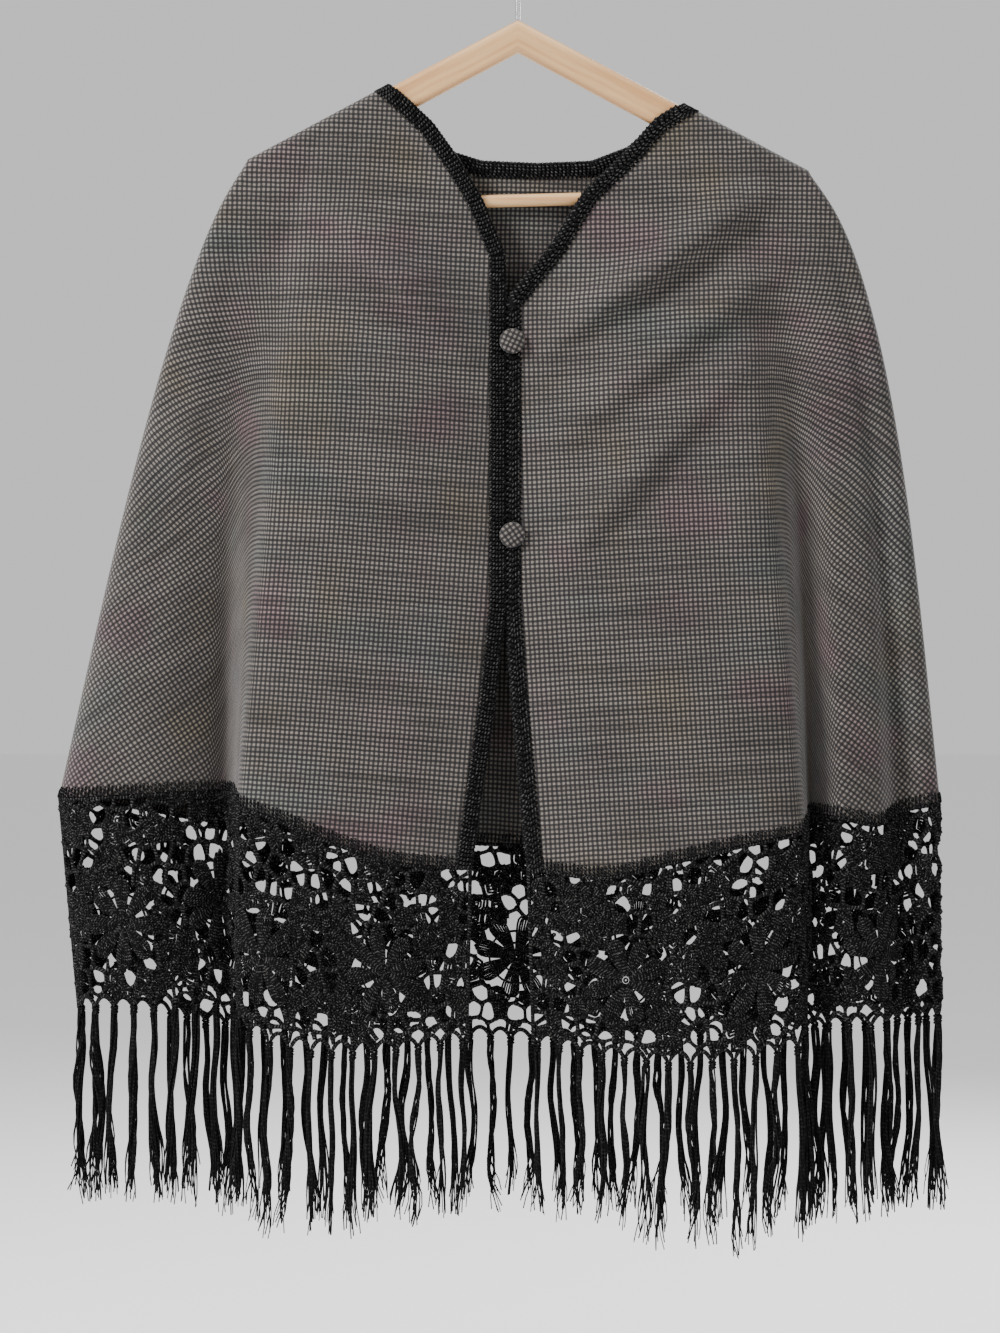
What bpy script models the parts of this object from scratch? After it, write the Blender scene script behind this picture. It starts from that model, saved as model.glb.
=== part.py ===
"""Ruana wrap of checked wool with a crocheted hem and fringe, on a wooden hanger.

The wrap is cut like a half circle, with its straight grain down the front edges.
It hangs from the arms of the hanger, so every column of cloth starts on the
neckline or on the ridge of the shoulders, and falls from there to the hem, to
the foot of the lace and to the tips of the fringe.
Front is -Y, up is +Z, and the origin is inside the top of the hook.
"""
import math
import random
from collections import namedtuple

import bpy
import bmesh
from mathutils import Vector
from mathutils.geometry import delaunay_2d_cdt

MM = 0.001

# Driving dimensions, in millimetres
CLOTH_WALL = 1.8
SEAM_GAP = 0.3
RIM_LEAN = 0.4             # room for the walls' edges, which lean at a rounded seam
HEM_GAP = 0.8              # the same below the hem and below the lace
FRINGE_MARGIN = 4.0        # from the side seam to the first lock
BAND_WIDTH = 10.0
BAND_WALL = 2.6
LACE_WALL = 2.2
FLOWER_WALL = 5.0
CORD_WIDTH = 3.4
CELL_PITCH = 13.0
CELL_SCATTER = 0.32
LARGEST_CELL_SHARE = 0.40
FLOWER_PETALS = 8
FRINGE_STRIP = 4.0
FRINGE_PITCH = 17.0
LOCK_WIDTH = 6.0
LOCK_TIP = 3.0
FRINGE_WALL = 3.0
BUTTON_RADIUS = 10.0
BUTTON_HEIGHT = 6.5

RIDGE_CROWN = -71.0        # where the two shoulder lines would meet
RIDGE_SLOPE = 0.535
RIDGE_ROUND = 8.2          # the cloth's middle turns over the arm at this radius
ARM_HALF_SPAN = 206.0
ARM_HALF_WALL = 6.0
ARM_HEIGHT = 27.0
ARM_LEG_FOOT = -236.0
ARM_LEG_WIDTH = 24.0
ARM_EDGE = 4.5
BAR_RADIUS = 5.0
BAR_LEFT_Z = -221.0
BAR_RIGHT_Z = -211.0
HOOK_RADIUS = 21.0
HOOK_WIRE = 2.0

BULGE_POWER = 0.6
BULGE_START = 0.03
FOLD_GROWTH = 1.15
STEPS_PER_FOLD = 2
CORNER_STEPS = (-2.0, 0.0, 2.0, 5.0, 11.0)    # columns near a neck corner, in mm down the neckline
ROWS_DOWN = (0.0, 0.0015, 0.005, 0.012, 0.03, 0.08, 0.15, 0.24, 0.34, 0.45, 0.57, 0.70, 0.85, 1.0)

# The cloth's edge at the neck, from the foot of the V to the corner on the arm
EdgePoint = namedtuple("EdgePoint", "x z")
NECK_LEFT = [EdgePoint(*row) for row in (
    (-20.8, -262), (-38, -220), (-57, -188), (-75, -163), (-92, -147), (-111, -130.4))]
NECK_RIGHT = [EdgePoint(*row) for row in (
    (0.8, -300), (12, -286), (35, -258), (60, -217), (94, -185), (115, -161), (140, -145.9))]
NECK_BACK = [EdgePoint(*row) for row in (
    (-111, -130.4), (-88, -158), (-62, -185), (-30, -195), (14, -197), (60, -195), (92, -183), (116, -163),
    (140, -145.9))]
TIP_LEFT = EdgePoint(-212, -184.4)
TIP_RIGHT = EdgePoint(228, -193)

# Where the cloth's front edges run below the V: straight, and then apart
FRONT_EDGE_LEFT = [EdgePoint(*row) for row in ((-20.8, -262), (-20.8, -535), (-29, -610), (-47, -737))]
FRONT_EDGE_RIGHT = [EdgePoint(*row) for row in ((0.8, -300), (0.8, -535), (6, -610), (18, -739))]

# One row for each fold line, from the front edge or the left side to the next side.
# top: share of the neck and shoulder edge where it starts. bulge: how far its middle
# bows out sideways. starts: share of its fall at which the fold begins to show.
Fold = namedtuple("Fold", "top bulge hem_x hem_y hem_z starts lace_x lace_z tip_z")
LEFT_FOLDS = [Fold(*row) for row in (
    (0.00, 0, -47, -46, -737, 0.00, -50, -874, -1012),
    (0.20, 0, -92, -54, -733, 0.00, -94, -880, -1020),
    (0.40, 0, -138, -57, -719, 0.00, -139, -882, -1028),
    (0.60, 2, -182, -55, -701, 0.00, -182, -878, -1026),
    (0.73, 6, -213, -47, -690, 0.00, -212, -864, -1012),
    (0.79, 14, -219, -30, -684, 0.15, -217, -856, -1004),
    (0.84, 22, -224, -15, -680, 0.25, -221, -850, -998),
    (0.88, 26, -246, -14, -679, 0.22, -240, -848, -997),
    (0.92, 24, -290, -27, -681, 0.10, -282, -848, -999),
    (0.97, 20, -340, -21, -684, 0.05, -326, -850, -1002),
    (1.00, 19, -360, 0, -685, 0.00, -345, -851, -1004))]
RIGHT_FOLDS = [Fold(*row) for row in (
    (0.00, 0, 18, -46, -739, 0.00, 22, -876, -1010),
    (0.18, 0, 66, -57, -744, 0.00, 68, -884, -1022),
    (0.38, 0, 116, -58, -733, 0.00, 117, -890, -1034),
    (0.58, 2, 166, -56, -721, 0.00, 166, -888, -1036),
    (0.72, 6, 214, -50, -711, 0.00, 213, -880, -1032),
    (0.79, 10, 224, -33, -704, 0.10, 223, -872, -1026),
    (0.84, 16, 229, -17, -697, 0.20, 228, -864, -1018),
    (0.89, 24, 252, -32, -699, 0.10, 252, -862, -1018),
    (0.93, 27, 280, -25, -704, 0.05, 281, -864, -1020),
    (0.955, 27, 296, -9, -696, 0.15, 297, -860, -1014),
    (0.98, 27, 318, -12, -690, 0.10, 320, -858, -1010),
    (1.00, 28, 331, 0, -689, 0.00, 332, -858, -1010))]
BACK_FOLDS = [Fold(*row) for row in (
    (0.00, 19, -360, 0, -685, 0.00, -345, -851, -1004),
    (0.03, 20, -346, 22, -687, 0.00, -332, -852, -1006),
    (0.07, 18, -303, 39, -693, 0.00, -292, -856, -1010),
    (0.14, 10, -250, 25, -702, 0.10, -246, -864, -1014),
    (0.24, 4, -190, 50, -711, 0.00, -188, -872, -1020),
    (0.34, 0, -122, 33, -718, 0.10, -121, -876, -1020),
    (0.45, 0, -45, 55, -722, 0.00, -45, -878, -1016),
    (0.55, 0, 22, 38, -723, 0.10, 22, -880, -1012),
    (0.66, 0, 96, 56, -721, 0.00, 96, -880, -1018),
    (0.76, 4, 166, 33, -715, 0.10, 167, -876, -1024),
    (0.85, 10, 226, 49, -708, 0.00, 227, -872, -1024),
    (0.92, 18, 274, 26, -700, 0.10, 275, -866, -1020),
    (0.97, 24, 313, 31, -693, 0.00, 315, -862, -1014),
    (1.00, 28, 331, 0, -689, 0.00, 332, -858, -1010))]

# Long soft creases of the fronts: they fan from the buttons up to the shoulders
Crease = namedtuple("Crease", "from_x from_z to_x to_z width depth")
FRONT_CREASES = [Crease(*row) for row in (
    (14, -338, 190, -214, 17, 6.0),
    (22, -410, 214, -262, 22, 5.0),
    (34, -490, 196, -330, 20, 4.0),
    (-32, -346, -150, -222, 18, 4.0),
    (-36, -420, -186, -300, 22, 3.0))]

# Flowers of the hem: how far round the hem, how far down the lace, and their size
Flower = namedtuple("Flower", "along down radius")
LEFT_FLOWERS = [Flower(*row) for row in (
    (57, 80, 30), (161, 86, 30), (239, 68, 29), (318, 82, 30))]
RIGHT_FLOWERS = [Flower(*row) for row in (
    (66, 78, 31), (174, 81, 30), (249, 62, 28), (322, 88, 29))]
BACK_FLOWERS = [Flower(*row) for row in (
    (38, 104, 28), (112, 74, 29), (202, 102, 30), (294, 76, 29), (394, 96, 36), (494, 76, 29),
    (590, 102, 30), (676, 74, 29), (728, 116, 26))]

COLOURS = {
    "checked_wool": ((0.12, 0.105, 0.095, 1.0), 0.9, 0.0),
    "black_crochet": ((0.012, 0.011, 0.012, 1.0), 0.85, 0.0),
    "pale_wood": ((0.60, 0.42, 0.25, 1.0), 0.5, 0.0),
    "steel": ((0.62, 0.62, 0.63, 1.0), 0.25, 1.0),
}


def new_collection(name):
    collection = bpy.data.collections.new(name)
    bpy.context.scene.collection.children.link(collection)
    return collection


def material_of(piece, finish):
    """A material of its own for each piece, in one of the part's finishes."""
    colour, roughness, metallic = COLOURS[finish]
    material = bpy.data.materials.new(piece + "_" + finish)
    material.use_nodes = True
    shader = material.node_tree.nodes["Principled BSDF"]
    shader.inputs["Base Color"].default_value = colour
    shader.inputs["Roughness"].default_value = roughness
    shader.inputs["Metallic"].default_value = metallic
    return material


def place(name, data, collection, finish):
    piece = bpy.data.objects.new(name, data)
    collection.objects.link(piece)
    data.materials.append(material_of(name, finish))
    return piece


def sheet_mesh(name, points, faces):
    """A mesh in metres from points in millimetres."""
    mesh = bpy.data.meshes.new(name)
    mesh.from_pydata([point * MM for point in points], [], faces)
    mesh.update()
    return mesh


def solidify(piece, wall):
    shell = piece.modifiers.new("Wall", "SOLIDIFY")
    shell.thickness = wall * MM
    shell.offset = 0.0
    shell.use_even_offset = False
    return shell


def mix(first, second, share):
    return first + (second - first) * share


def between(rows, position, before, after):
    """The row at a position between the rows of a table, on a smooth curve."""
    index = min(int(position), len(rows) - 2)
    share = position - index
    ends = [before] + list(rows) + [after]
    p0, p1, p2, p3 = ends[index:index + 4]
    values = []
    for a, b, c, d in zip(p0, p1, p2, p3):
        cubic = (2 * b + (c - a) * share + (2 * a - 5 * b + 4 * c - d) * share ** 2
                 + (3 * b - a - 3 * c + d) * share ** 3)
        values.append(cubic / 2)
    return type(rows[0])(*values)


def reflected(end, inner):
    """The row beyond an end, as far out as the inner row is in."""
    return type(end)(*(2 * e - i for e, i in zip(end, inner)))


def along_path(path, share):
    """The point at a share of the length of an open path in the XZ plane."""
    spans = [math.dist(a, b) for a, b in zip(path, path[1:])]
    target = min(max(share, 0.0), 1.0) * sum(spans)
    for start, end, span in zip(path, path[1:], spans):
        if target <= span or end is path[-1]:
            return EdgePoint(mix(start.x, end.x, target / span), mix(start.z, end.z, target / span))
        target -= span


def at_height(path, z):
    """The x of a path that only falls, at height z."""
    for start, end in zip(path, path[1:]):
        if z >= end.z or end is path[-1]:
            return mix(start.x, end.x, (z - start.z) / (end.z - start.z))


def ridge_z(x):
    """Height of the cloth's middle along the ridge of the shoulders."""
    return RIDGE_CROWN - RIDGE_SLOPE * abs(x)


def quarter_round(distance):
    """How far out a rounded edge has come, from 0 to 1, at this distance past it."""
    share = min(max(distance / RIDGE_ROUND, 0.0), 1.0)
    return math.sqrt(1 - (1 - share) ** 2)


def crease_depth(x, z):
    """How far the fronts' creases stand out at a place."""
    total = 0.0
    for crease in FRONT_CREASES:
        start = Vector((crease.from_x, crease.from_z))
        run = Vector((crease.to_x, crease.to_z)) - start
        share = (Vector((x, z)) - start).dot(run) / run.length_squared
        if 0 < share < 1:
            off = (Vector((x, z)) - start - run * share).length / crease.width
            total += crease.depth * math.sin(math.pi * share) ** 0.8 * math.exp(-off * off)
    return total


class Panel:
    """One panel of the drape, as a surface of fold positions and shares down."""

    def __init__(self, name, side, top_path, corners, folds, before, after, front_edge=None):
        self.name = name
        self.side = side                  # -1 for a front, +1 for the back
        self.top_path = top_path
        self.corners = corners            # neck corners: length along the top, way down the neckline
        self.folds = folds
        self.before = before
        self.after = after
        self.front_edge = front_edge
        self.last = len(folds) - 1

    def fold(self, position):
        return between(self.folds, position, self.before, self.after)

    def column_x(self, fold, down):
        top = along_path(self.top_path, fold.top)
        bow = math.sin(math.pi * down ** BULGE_POWER) * (1 - math.exp(-down / BULGE_START))
        return mix(top.x, fold.hem_x, down) + bow * math.copysign(fold.bulge, fold.hem_x)

    def cloth_point(self, position, down):
        fold = self.fold(position)
        top = along_path(self.top_path, fold.top)
        x = self.column_x(fold, down)
        z = mix(top.z, fold.hem_z, down)
        if self.front_edge:
            first = self.folds[0]
            fade = max(0.0, 1 - position / 3) ** 2
            x += (at_height(self.front_edge, z) - self.column_x(first, down)) * fade
        outer = self.folds[-1] if x > 0 else self.folds[0]
        if self.front_edge:
            outer = self.folds[-1]
        inset = abs(self.column_x(outer, down)) - abs(x)
        below = ridge_z(x) - z
        start_y = self.side * RIDGE_ROUND * min(quarter_round(below), quarter_round(inset))
        grown = max(0.0, (down - fold.starts) / (1 - fold.starts)) ** FOLD_GROWTH
        y = mix(start_y, fold.hem_y, grown)
        if self.front_edge:
            y -= crease_depth(x, z)
        return Vector((x, self.clear_of_seam(y), z))

    def clear_of_seam(self, y):
        least = SEAM_GAP / 2 + RIM_LEAN
        return self.side * max(self.side * y, least)

    def point(self, position, down):
        """down runs 0 to 1 on the cloth, 1 to 2 on the lace and 2 to 3 on the fringe."""
        if down <= 1:
            return self.cloth_point(position, down)
        hem = self.cloth_point(position, 1.0)
        fold = self.fold(position)
        lace = Vector((fold.lace_x, hem.y * 0.97, fold.lace_z))
        lace.y = self.clear_of_seam(lace.y)
        if down <= 2:
            return hem.lerp(lace, down - 1)
        tip = Vector((fold.lace_x, lace.y, fold.tip_z))
        return lace.lerp(tip, down - 2)

    def position_of_top(self, length):
        """The fold position whose column starts at this length along the top edge."""
        low, high = 0.0, float(self.last)
        for _ in range(40):
            middle = (low + high) / 2
            if self.fold(middle).top * path_length(self.top_path) < length:
                low = middle
            else:
                high = middle
        return high

    def corner_positions(self):
        return [self.position_of_top(length + way * step)
                for length, way in self.corners for step in CORNER_STEPS]

    def positions(self):
        """Every column of the cloth, with more of them where the neckline leaves the arm."""
        near = self.corner_positions()
        even = [step / STEPS_PER_FOLD for step in range(self.last * STEPS_PER_FOLD + 1)]
        return sorted(near + [p for p in even if all(abs(p - q) > 0.12 for q in near)])


def path_length(path):
    return sum(math.dist(a, b) for a, b in zip(path, path[1:]))


def make_panels():
    left_top = NECK_LEFT + [TIP_LEFT]
    right_top = NECK_RIGHT + [TIP_RIGHT]
    back_top = [TIP_LEFT] + NECK_BACK + [TIP_RIGHT]
    left = Panel("front_left", -1, left_top, [(path_length(NECK_LEFT), -1)], LEFT_FOLDS,
                 reflected(LEFT_FOLDS[0], LEFT_FOLDS[1]), BACK_FOLDS[1]._replace(top=1.03), FRONT_EDGE_LEFT)
    right = Panel("front_right", -1, right_top, [(path_length(NECK_RIGHT), -1)], RIGHT_FOLDS,
                  reflected(RIGHT_FOLDS[0], RIGHT_FOLDS[1]), BACK_FOLDS[-2]._replace(top=1.02),
                  FRONT_EDGE_RIGHT)
    back_corners = [(path_length(back_top[:2]), 1), (path_length(back_top[:-1]), -1)]
    back = Panel("back", 1, back_top, back_corners, BACK_FOLDS,
                 LEFT_FOLDS[-2]._replace(top=-0.03), RIGHT_FOLDS[-2]._replace(top=1.02))
    return left, right, back


def cloth_grid(panel):
    return [[panel.point(position, down) for position in panel.positions()] for down in ROWS_DOWN]


def grid_faces(rows, columns, flipped):
    faces = []
    for r in range(rows - 1):
        for c in range(columns - 1):
            corner = r * columns + c
            face = (corner, corner + columns, corner + columns + 1, corner + 1)
            faces.append(face[::-1] if flipped else face)
    return faces


def make_cloth(panel, collection):
    grid = cloth_grid(panel)
    columns = len(grid[0])
    flipped = (panel.side < 0) == (panel.folds[-1].hem_x < 0)
    mesh = sheet_mesh(panel.name, [point for row in grid for point in row],
                      grid_faces(len(grid), columns, flipped))
    piece = place(panel.name, mesh, collection, "checked_wool")
    solidify(piece, CLOTH_WALL)
    return piece


def edge_frames(points, normals, turn):
    """Each point of an edge with the direction that leads off the cloth."""
    frames = []
    for index, (point, normal) in enumerate(zip(points, normals)):
        ahead = points[min(index + 1, len(points) - 1)] - points[max(index - 1, 0)]
        off = ahead.cross(normal).normalized() * turn
        if ridge_z(point.x) - point.z < RIDGE_ROUND * 1.5:
            off = Vector((-math.copysign(1, point.x), 0, RIDGE_SLOPE)).normalized()
        frames.append((point, off))
    return frames


def make_edging(name, piece, panel, edge, collection):
    """A crocheted band that carries the cloth on past its cut edge."""
    columns = len(panel.positions())
    mesh = piece.data
    points = [mesh.vertices[r * columns + c].co / MM for r, c in edge]
    normals = [mesh.vertices[r * columns + c].normal for r, c in edge]
    frames = edge_frames(points, normals, -1 if name == "edging_left" else 1)
    if panel.front_edge:
        frames[-1][1].z = 0
    rows = []
    for reach in (SEAM_GAP, SEAM_GAP + BAND_WIDTH):
        rows.append([])
        for point, off in frames:
            moved = point + off * reach
            moved.y = panel.clear_of_seam(moved.y)
            rows[-1].append(moved)
    band = sheet_mesh(name, rows[0] + rows[1], grid_faces(2, len(edge), False))
    result = place(name, band, collection, "black_crochet")
    solidify(result, BAND_WALL)
    return result


def front_edge_cells(panel):
    """Rows and columns of the cloth's edge, from the neck corner to the hem."""
    corner = panel.positions().index(panel.corner_positions()[1])
    cells = [(0, c) for c in range(corner, -1, -1)]
    return cells + [(r, 0) for r in range(1, len(ROWS_DOWN))]


def hem_lengths(panel, steps=12):
    """Distance along the hem at many fold positions."""
    positions = [i / steps for i in range(panel.last * steps + 1)]
    points = [panel.point(p, 1.0) for p in positions]
    lengths = [0.0]
    for a, b in zip(points, points[1:]):
        lengths.append(lengths[-1] + (b - a).length)
    return positions, lengths


def position_at(lengths, along):
    positions, distances = lengths
    for index in range(len(distances) - 1):
        if along <= distances[index + 1] or index == len(distances) - 2:
            share = (along - distances[index]) / (distances[index + 1] - distances[index])
            return mix(positions[index], positions[index + 1], min(max(share, 0.0), 1.0))


def lace_point(panel, lengths, along, share):
    """A place on the lace; it reaches past a front edge by the width of the band."""
    point = panel.point(position_at(lengths, max(along, 0.0)), 1 + share)
    if along < 0:
        point.x -= along * (1 if panel.folds[-1].hem_x < 0 else -1)
    return point


def clipped(polygon, middle, normal):
    """The part of a convex polygon behind a line."""
    kept = []
    for a, b in zip(polygon, polygon[1:] + polygon[:1]):
        da, db = (a - middle).dot(normal), (b - middle).dot(normal)
        if da <= 0:
            kept.append(a)
        if da * db < 0:
            kept.append(a.lerp(b, da / (da - db)))
    return kept


def net_cells(seed, length, depth):
    """Cells of the net: each holds the places nearest to its own scattered seed."""
    scatter = random.Random(seed)
    seeds = []
    for row in range(-1, round(depth / CELL_PITCH) + 2):
        for column in range(-2, round(length / CELL_PITCH) + 3):
            across = column + (row % 2) / 2 + scatter.uniform(-CELL_SCATTER, CELL_SCATTER)
            down = row + scatter.uniform(-CELL_SCATTER, CELL_SCATTER)
            seeds.append(Vector((across, down)) * CELL_PITCH)
    cells = []
    for seed_point in seeds:
        reach = CELL_PITCH * 1.6
        polygon = [seed_point + Vector(corner) * reach for corner in ((-1, -1), (1, -1), (1, 1), (-1, 1))]
        for other in seeds:
            gap = other - seed_point
            if 0 < gap.length < 2 * reach and polygon:
                polygon = clipped(polygon, (other + seed_point) / 2 - gap.normalized() * CORD_WIDTH / 2,
                                  gap)
        cells.append((seed_point, polygon))
    return cells


def area_of(polygon):
    return abs(sum(a.cross(b) for a, b in zip(polygon, polygon[1:] + polygon[:1]))) / 2


def fewer_corners(polygon, most=5):
    """The polygon with its least corners taken off."""
    corners = list(polygon)
    while len(corners) > most:
        def loss(i):
            return area_of([corners[i - 1], corners[i], corners[(i + 1) % len(corners)]])
        corners.pop(min(range(len(corners)), key=loss))
    return corners


def inside(polygon, point):
    turns = [(b - a).cross(point - a) > 0 for a, b in zip(polygon, polygon[1:] + polygon[:1])]
    return all(turns) or not any(turns)


def chosen_holes(seed, length, depth, flowers):
    """The largest cells of the net, clear of the flowers and of the lace's edges."""
    holes = []
    for middle, polygon in net_cells(seed, length, depth):
        if len(polygon) < 3:
            continue
        clear_edge = all(4 < p.x < length - 4 and 5 < p.y < depth - 5 for p in polygon)
        clear_flower = all((p - Vector((f.along, f.down))).length > f.radius + 3
                           for f in flowers for p in polygon)
        if clear_edge and clear_flower:
            holes.append(fewer_corners(polygon))
    holes.sort(key=area_of, reverse=True)
    return holes[:round(len(holes) * LARGEST_CELL_SHARE)]


def flower_rings(flower):
    """Petalled outlines: the foot of the raised flower, and its shoulder."""
    rings = []
    for share in (1.0, 0.86):
        ring = []
        for step in range(FLOWER_PETALS * 2):
            reach = flower.radius * share * (1.0 if step % 2 else 0.78)
            turn = math.pi * step / FLOWER_PETALS
            ring.append(Vector((flower.along + reach * math.cos(turn), flower.down + reach * math.sin(turn))))
        rings.append(ring)
    return rings


def make_lace(name, panel, flowers, seed, collection):
    """The crocheted hem: a net with its largest cells cut through, and raised flowers."""
    lengths = hem_lengths(panel)
    first = -BAND_WIDTH if panel.front_edge else 0.0
    length = lengths[1][-1]
    depth = panel.folds[0].hem_z - panel.folds[0].lace_z
    holes = chosen_holes(seed, length, depth, flowers)
    folds_at = [lengths[1][i] for i in range(0, len(lengths[1]), 6)]
    outline = [Vector((first, 0))] + [Vector((a, 0)) for a in folds_at]
    outline += [Vector((a, depth)) for a in reversed(folds_at)] + [Vector((first, depth))]
    if first == 0.0:
        outline = outline[1:-1]
    points, edges, raised = list(outline), loop_edges(0, len(outline)), [0.0] * len(outline)
    for hole in holes:
        edges += loop_edges(len(points), len(hole))
        points += hole
        raised += [0.0] * len(hole)
    for flower in flowers:
        foot, shoulder = flower_rings(flower)
        edges += loop_edges(len(points), len(foot))
        points += foot + shoulder + [Vector((flower.along, flower.down))]
        raised += [0.0] * len(foot) + [1.0] * (len(shoulder) + 1)
    for along in folds_at[1:-1]:
        for share in (0.2, 0.4, 0.6, 0.8):
            spot = Vector((along, depth * share))
            if is_plain(spot, holes, flowers):
                points.append(spot)
                raised.append(0.0)
    flat, _, faces, origin, _, _ = delaunay_2d_cdt(points, edges, [], 0, 1e-6)
    kept = [face for face in faces if keeps(flat, face, outline, holes)]
    used = sorted({corner for face in kept for corner in face})
    place_of = {corner: index for index, corner in enumerate(used)}
    top_share = HEM_GAP / depth
    solid = [lace_point(panel, lengths, flat[i].x, mix(top_share, 1.0, flat[i].y / depth)) for i in used]
    turned = (panel.side < 0) == (panel.folds[-1].hem_x < 0)
    faces = [tuple(place_of[corner] for corner in (face if turned else face[::-1])) for face in kept]
    piece = place(name, sheet_mesh(name, solid, faces), collection, "black_crochet")
    group = piece.vertex_groups.new(name="Flowers")
    for index, corner in enumerate(used):
        group.add([index], max((raised[i] for i in origin[corner]), default=0.0), "REPLACE")
    shell = solidify(piece, FLOWER_WALL)
    shell.vertex_group = group.name
    shell.thickness_vertex_group = LACE_WALL / FLOWER_WALL
    return piece


def loop_edges(start, count):
    return [(start + i, start + (i + 1) % count) for i in range(count)]


def is_plain(spot, holes, flowers):
    near_hole = any((spot - corner).length < 7 for hole in holes for corner in hole)
    in_hole = any(inside(hole, spot) for hole in holes)
    in_flower = any((spot - Vector((f.along, f.down))).length < f.radius + 3 for f in flowers)
    return not (near_hole or in_hole or in_flower)


def keeps(flat, face, outline, holes):
    middle = sum((flat[i] for i in face), Vector((0, 0))) / len(face)
    low_x = min(p.x for p in outline)
    high_x = max(p.x for p in outline)
    if not (low_x < middle.x < high_x):
        return False
    return not any((hole[0] - middle).length < 2 * CELL_PITCH and inside(hole, middle) for hole in holes)


def make_fringe(name, panel, seed, collection):
    """Locks that hang from a narrow strip under the lace, all one piece."""
    wave = random.Random(seed)
    lengths = hem_lengths(panel)
    first = -BAND_WIDTH if panel.front_edge else FRINGE_MARGIN
    length = lengths[1][-1] - FRINGE_MARGIN
    locks = round((length - first) / FRINGE_PITCH)
    pitch = (length - first - LOCK_WIDTH) / (locks - 1)
    stations = []
    for lock in range(locks):
        start = first + lock * pitch
        stations += [start, start + LOCK_WIDTH]
    editor = bmesh.new()
    rings = []
    for along in stations:
        foot = lace_point(panel, lengths, along, 1.0)
        step = lace_point(panel, lengths, along + 1, 1.0) - lace_point(panel, lengths, along - 1, 1.0)
        across = Vector((-step.y, step.x, 0)).normalized() * FRINGE_WALL / 2
        high = foot - Vector((0, 0, HEM_GAP))
        low = high - Vector((0, 0, FRINGE_STRIP))
        corners = (high + across, high - across, low - across, low + across)
        rings.append([editor.verts.new(corner * MM) for corner in corners])
    editor.faces.new(rings[0][::-1])
    editor.faces.new(rings[-1])
    floors = []
    for index, (a, b) in enumerate(zip(rings, rings[1:])):
        for side in range(4):
            nxt = (side + 1) % 4
            face = editor.faces.new((a[side], a[nxt], b[nxt], b[side]))
            if side == 2 and index % 2 == 0:
                floors.append((face, (stations[index] + stations[index + 1]) / 2))
    for face, along in floors:
        grow_lock(editor, face, panel, lengths, along, wave)
    bmesh.ops.recalc_face_normals(editor, faces=editor.faces)
    mesh = bpy.data.meshes.new(name)
    editor.to_mesh(mesh)
    editor.free()
    return place(name, mesh, collection, "black_crochet")


def grow_lock(editor, face, panel, lengths, along, wave):
    """Draws one face of the strip down into a tapered lock."""
    root = face.calc_center_median()
    position = position_at(lengths, max(along, 0.0))
    tip_z = panel.fold(position).tip_z + wave.uniform(0, 10)
    sway = Vector((wave.uniform(-4, 4), wave.uniform(-2, 2), 0))
    extruded = bmesh.ops.extrude_discrete_faces(editor, faces=[face])["faces"][0]
    centre = Vector((root.x, root.y, tip_z * MM)) + sway * MM
    for vertex in extruded.verts:
        vertex.co = centre + (vertex.co - root) * (LOCK_TIP / LOCK_WIDTH)


def make_hanger(collection):
    """Both arms in one flat piece of wood, with a leg at each end for the bar."""
    drop = RIDGE_ROUND - ARM_HALF_WALL
    outline = [(0, ridge_z(0) - drop - 1), (ARM_HALF_SPAN - 8, ridge_z(ARM_HALF_SPAN - 8) - drop),
               (ARM_HALF_SPAN, ridge_z(ARM_HALF_SPAN) - drop - 4), (ARM_HALF_SPAN, ARM_LEG_FOOT + 8),
               (ARM_HALF_SPAN - 8, ARM_LEG_FOOT),
               (ARM_HALF_SPAN - ARM_LEG_WIDTH, ARM_LEG_FOOT),
               (ARM_HALF_SPAN - ARM_LEG_WIDTH, ridge_z(ARM_HALF_SPAN - ARM_LEG_WIDTH) - ARM_HEIGHT - drop),
               (0, ridge_z(0) - ARM_HEIGHT - drop)]
    outline += [(-x, z) for x, z in reversed(outline[1:-1])]
    curve = bpy.data.curves.new("arms_outline", "CURVE")
    curve.dimensions = "2D"
    curve.fill_mode = "BOTH"
    curve.extrude = ARM_HALF_WALL * MM
    spline = curve.splines.new("POLY")
    spline.points.add(len(outline) - 1)
    for point, (x, z) in zip(spline.points, outline):
        point.co = (x * MM, z * MM, 0, 1)
    spline.use_cyclic_u = True
    mesh = mesh_of_curve(curve, "hanger_arms", math.pi / 2)
    arms = place("hanger_arms", mesh, collection, "pale_wood")
    edge = arms.modifiers.new("Rounded edges", "BEVEL")
    edge.width = ARM_EDGE * MM
    edge.segments = 3
    edge.limit_method = "ANGLE"
    edge.angle_limit = math.radians(60)
    return arms


def mesh_of_curve(curve, name, turn=0.0):
    """A closed mesh from a curve, turned about X, with its caps welded."""
    holder = bpy.data.objects.new(name + "_curve", curve)
    bpy.context.scene.collection.objects.link(holder)
    bpy.context.view_layer.update()
    mesh = bpy.data.meshes.new_from_object(holder.evaluated_get(bpy.context.evaluated_depsgraph_get()))
    bpy.data.objects.remove(holder)
    editor = bmesh.new()
    editor.from_mesh(mesh)
    bmesh.ops.remove_doubles(editor, verts=editor.verts, dist=1e-5)
    for vertex in editor.verts:
        x, y, z = vertex.co
        vertex.co = (x, y * math.cos(turn) - z * math.sin(turn), y * math.sin(turn) + z * math.cos(turn))
    editor.to_mesh(mesh)
    editor.free()
    mesh.name = name
    return mesh


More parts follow.
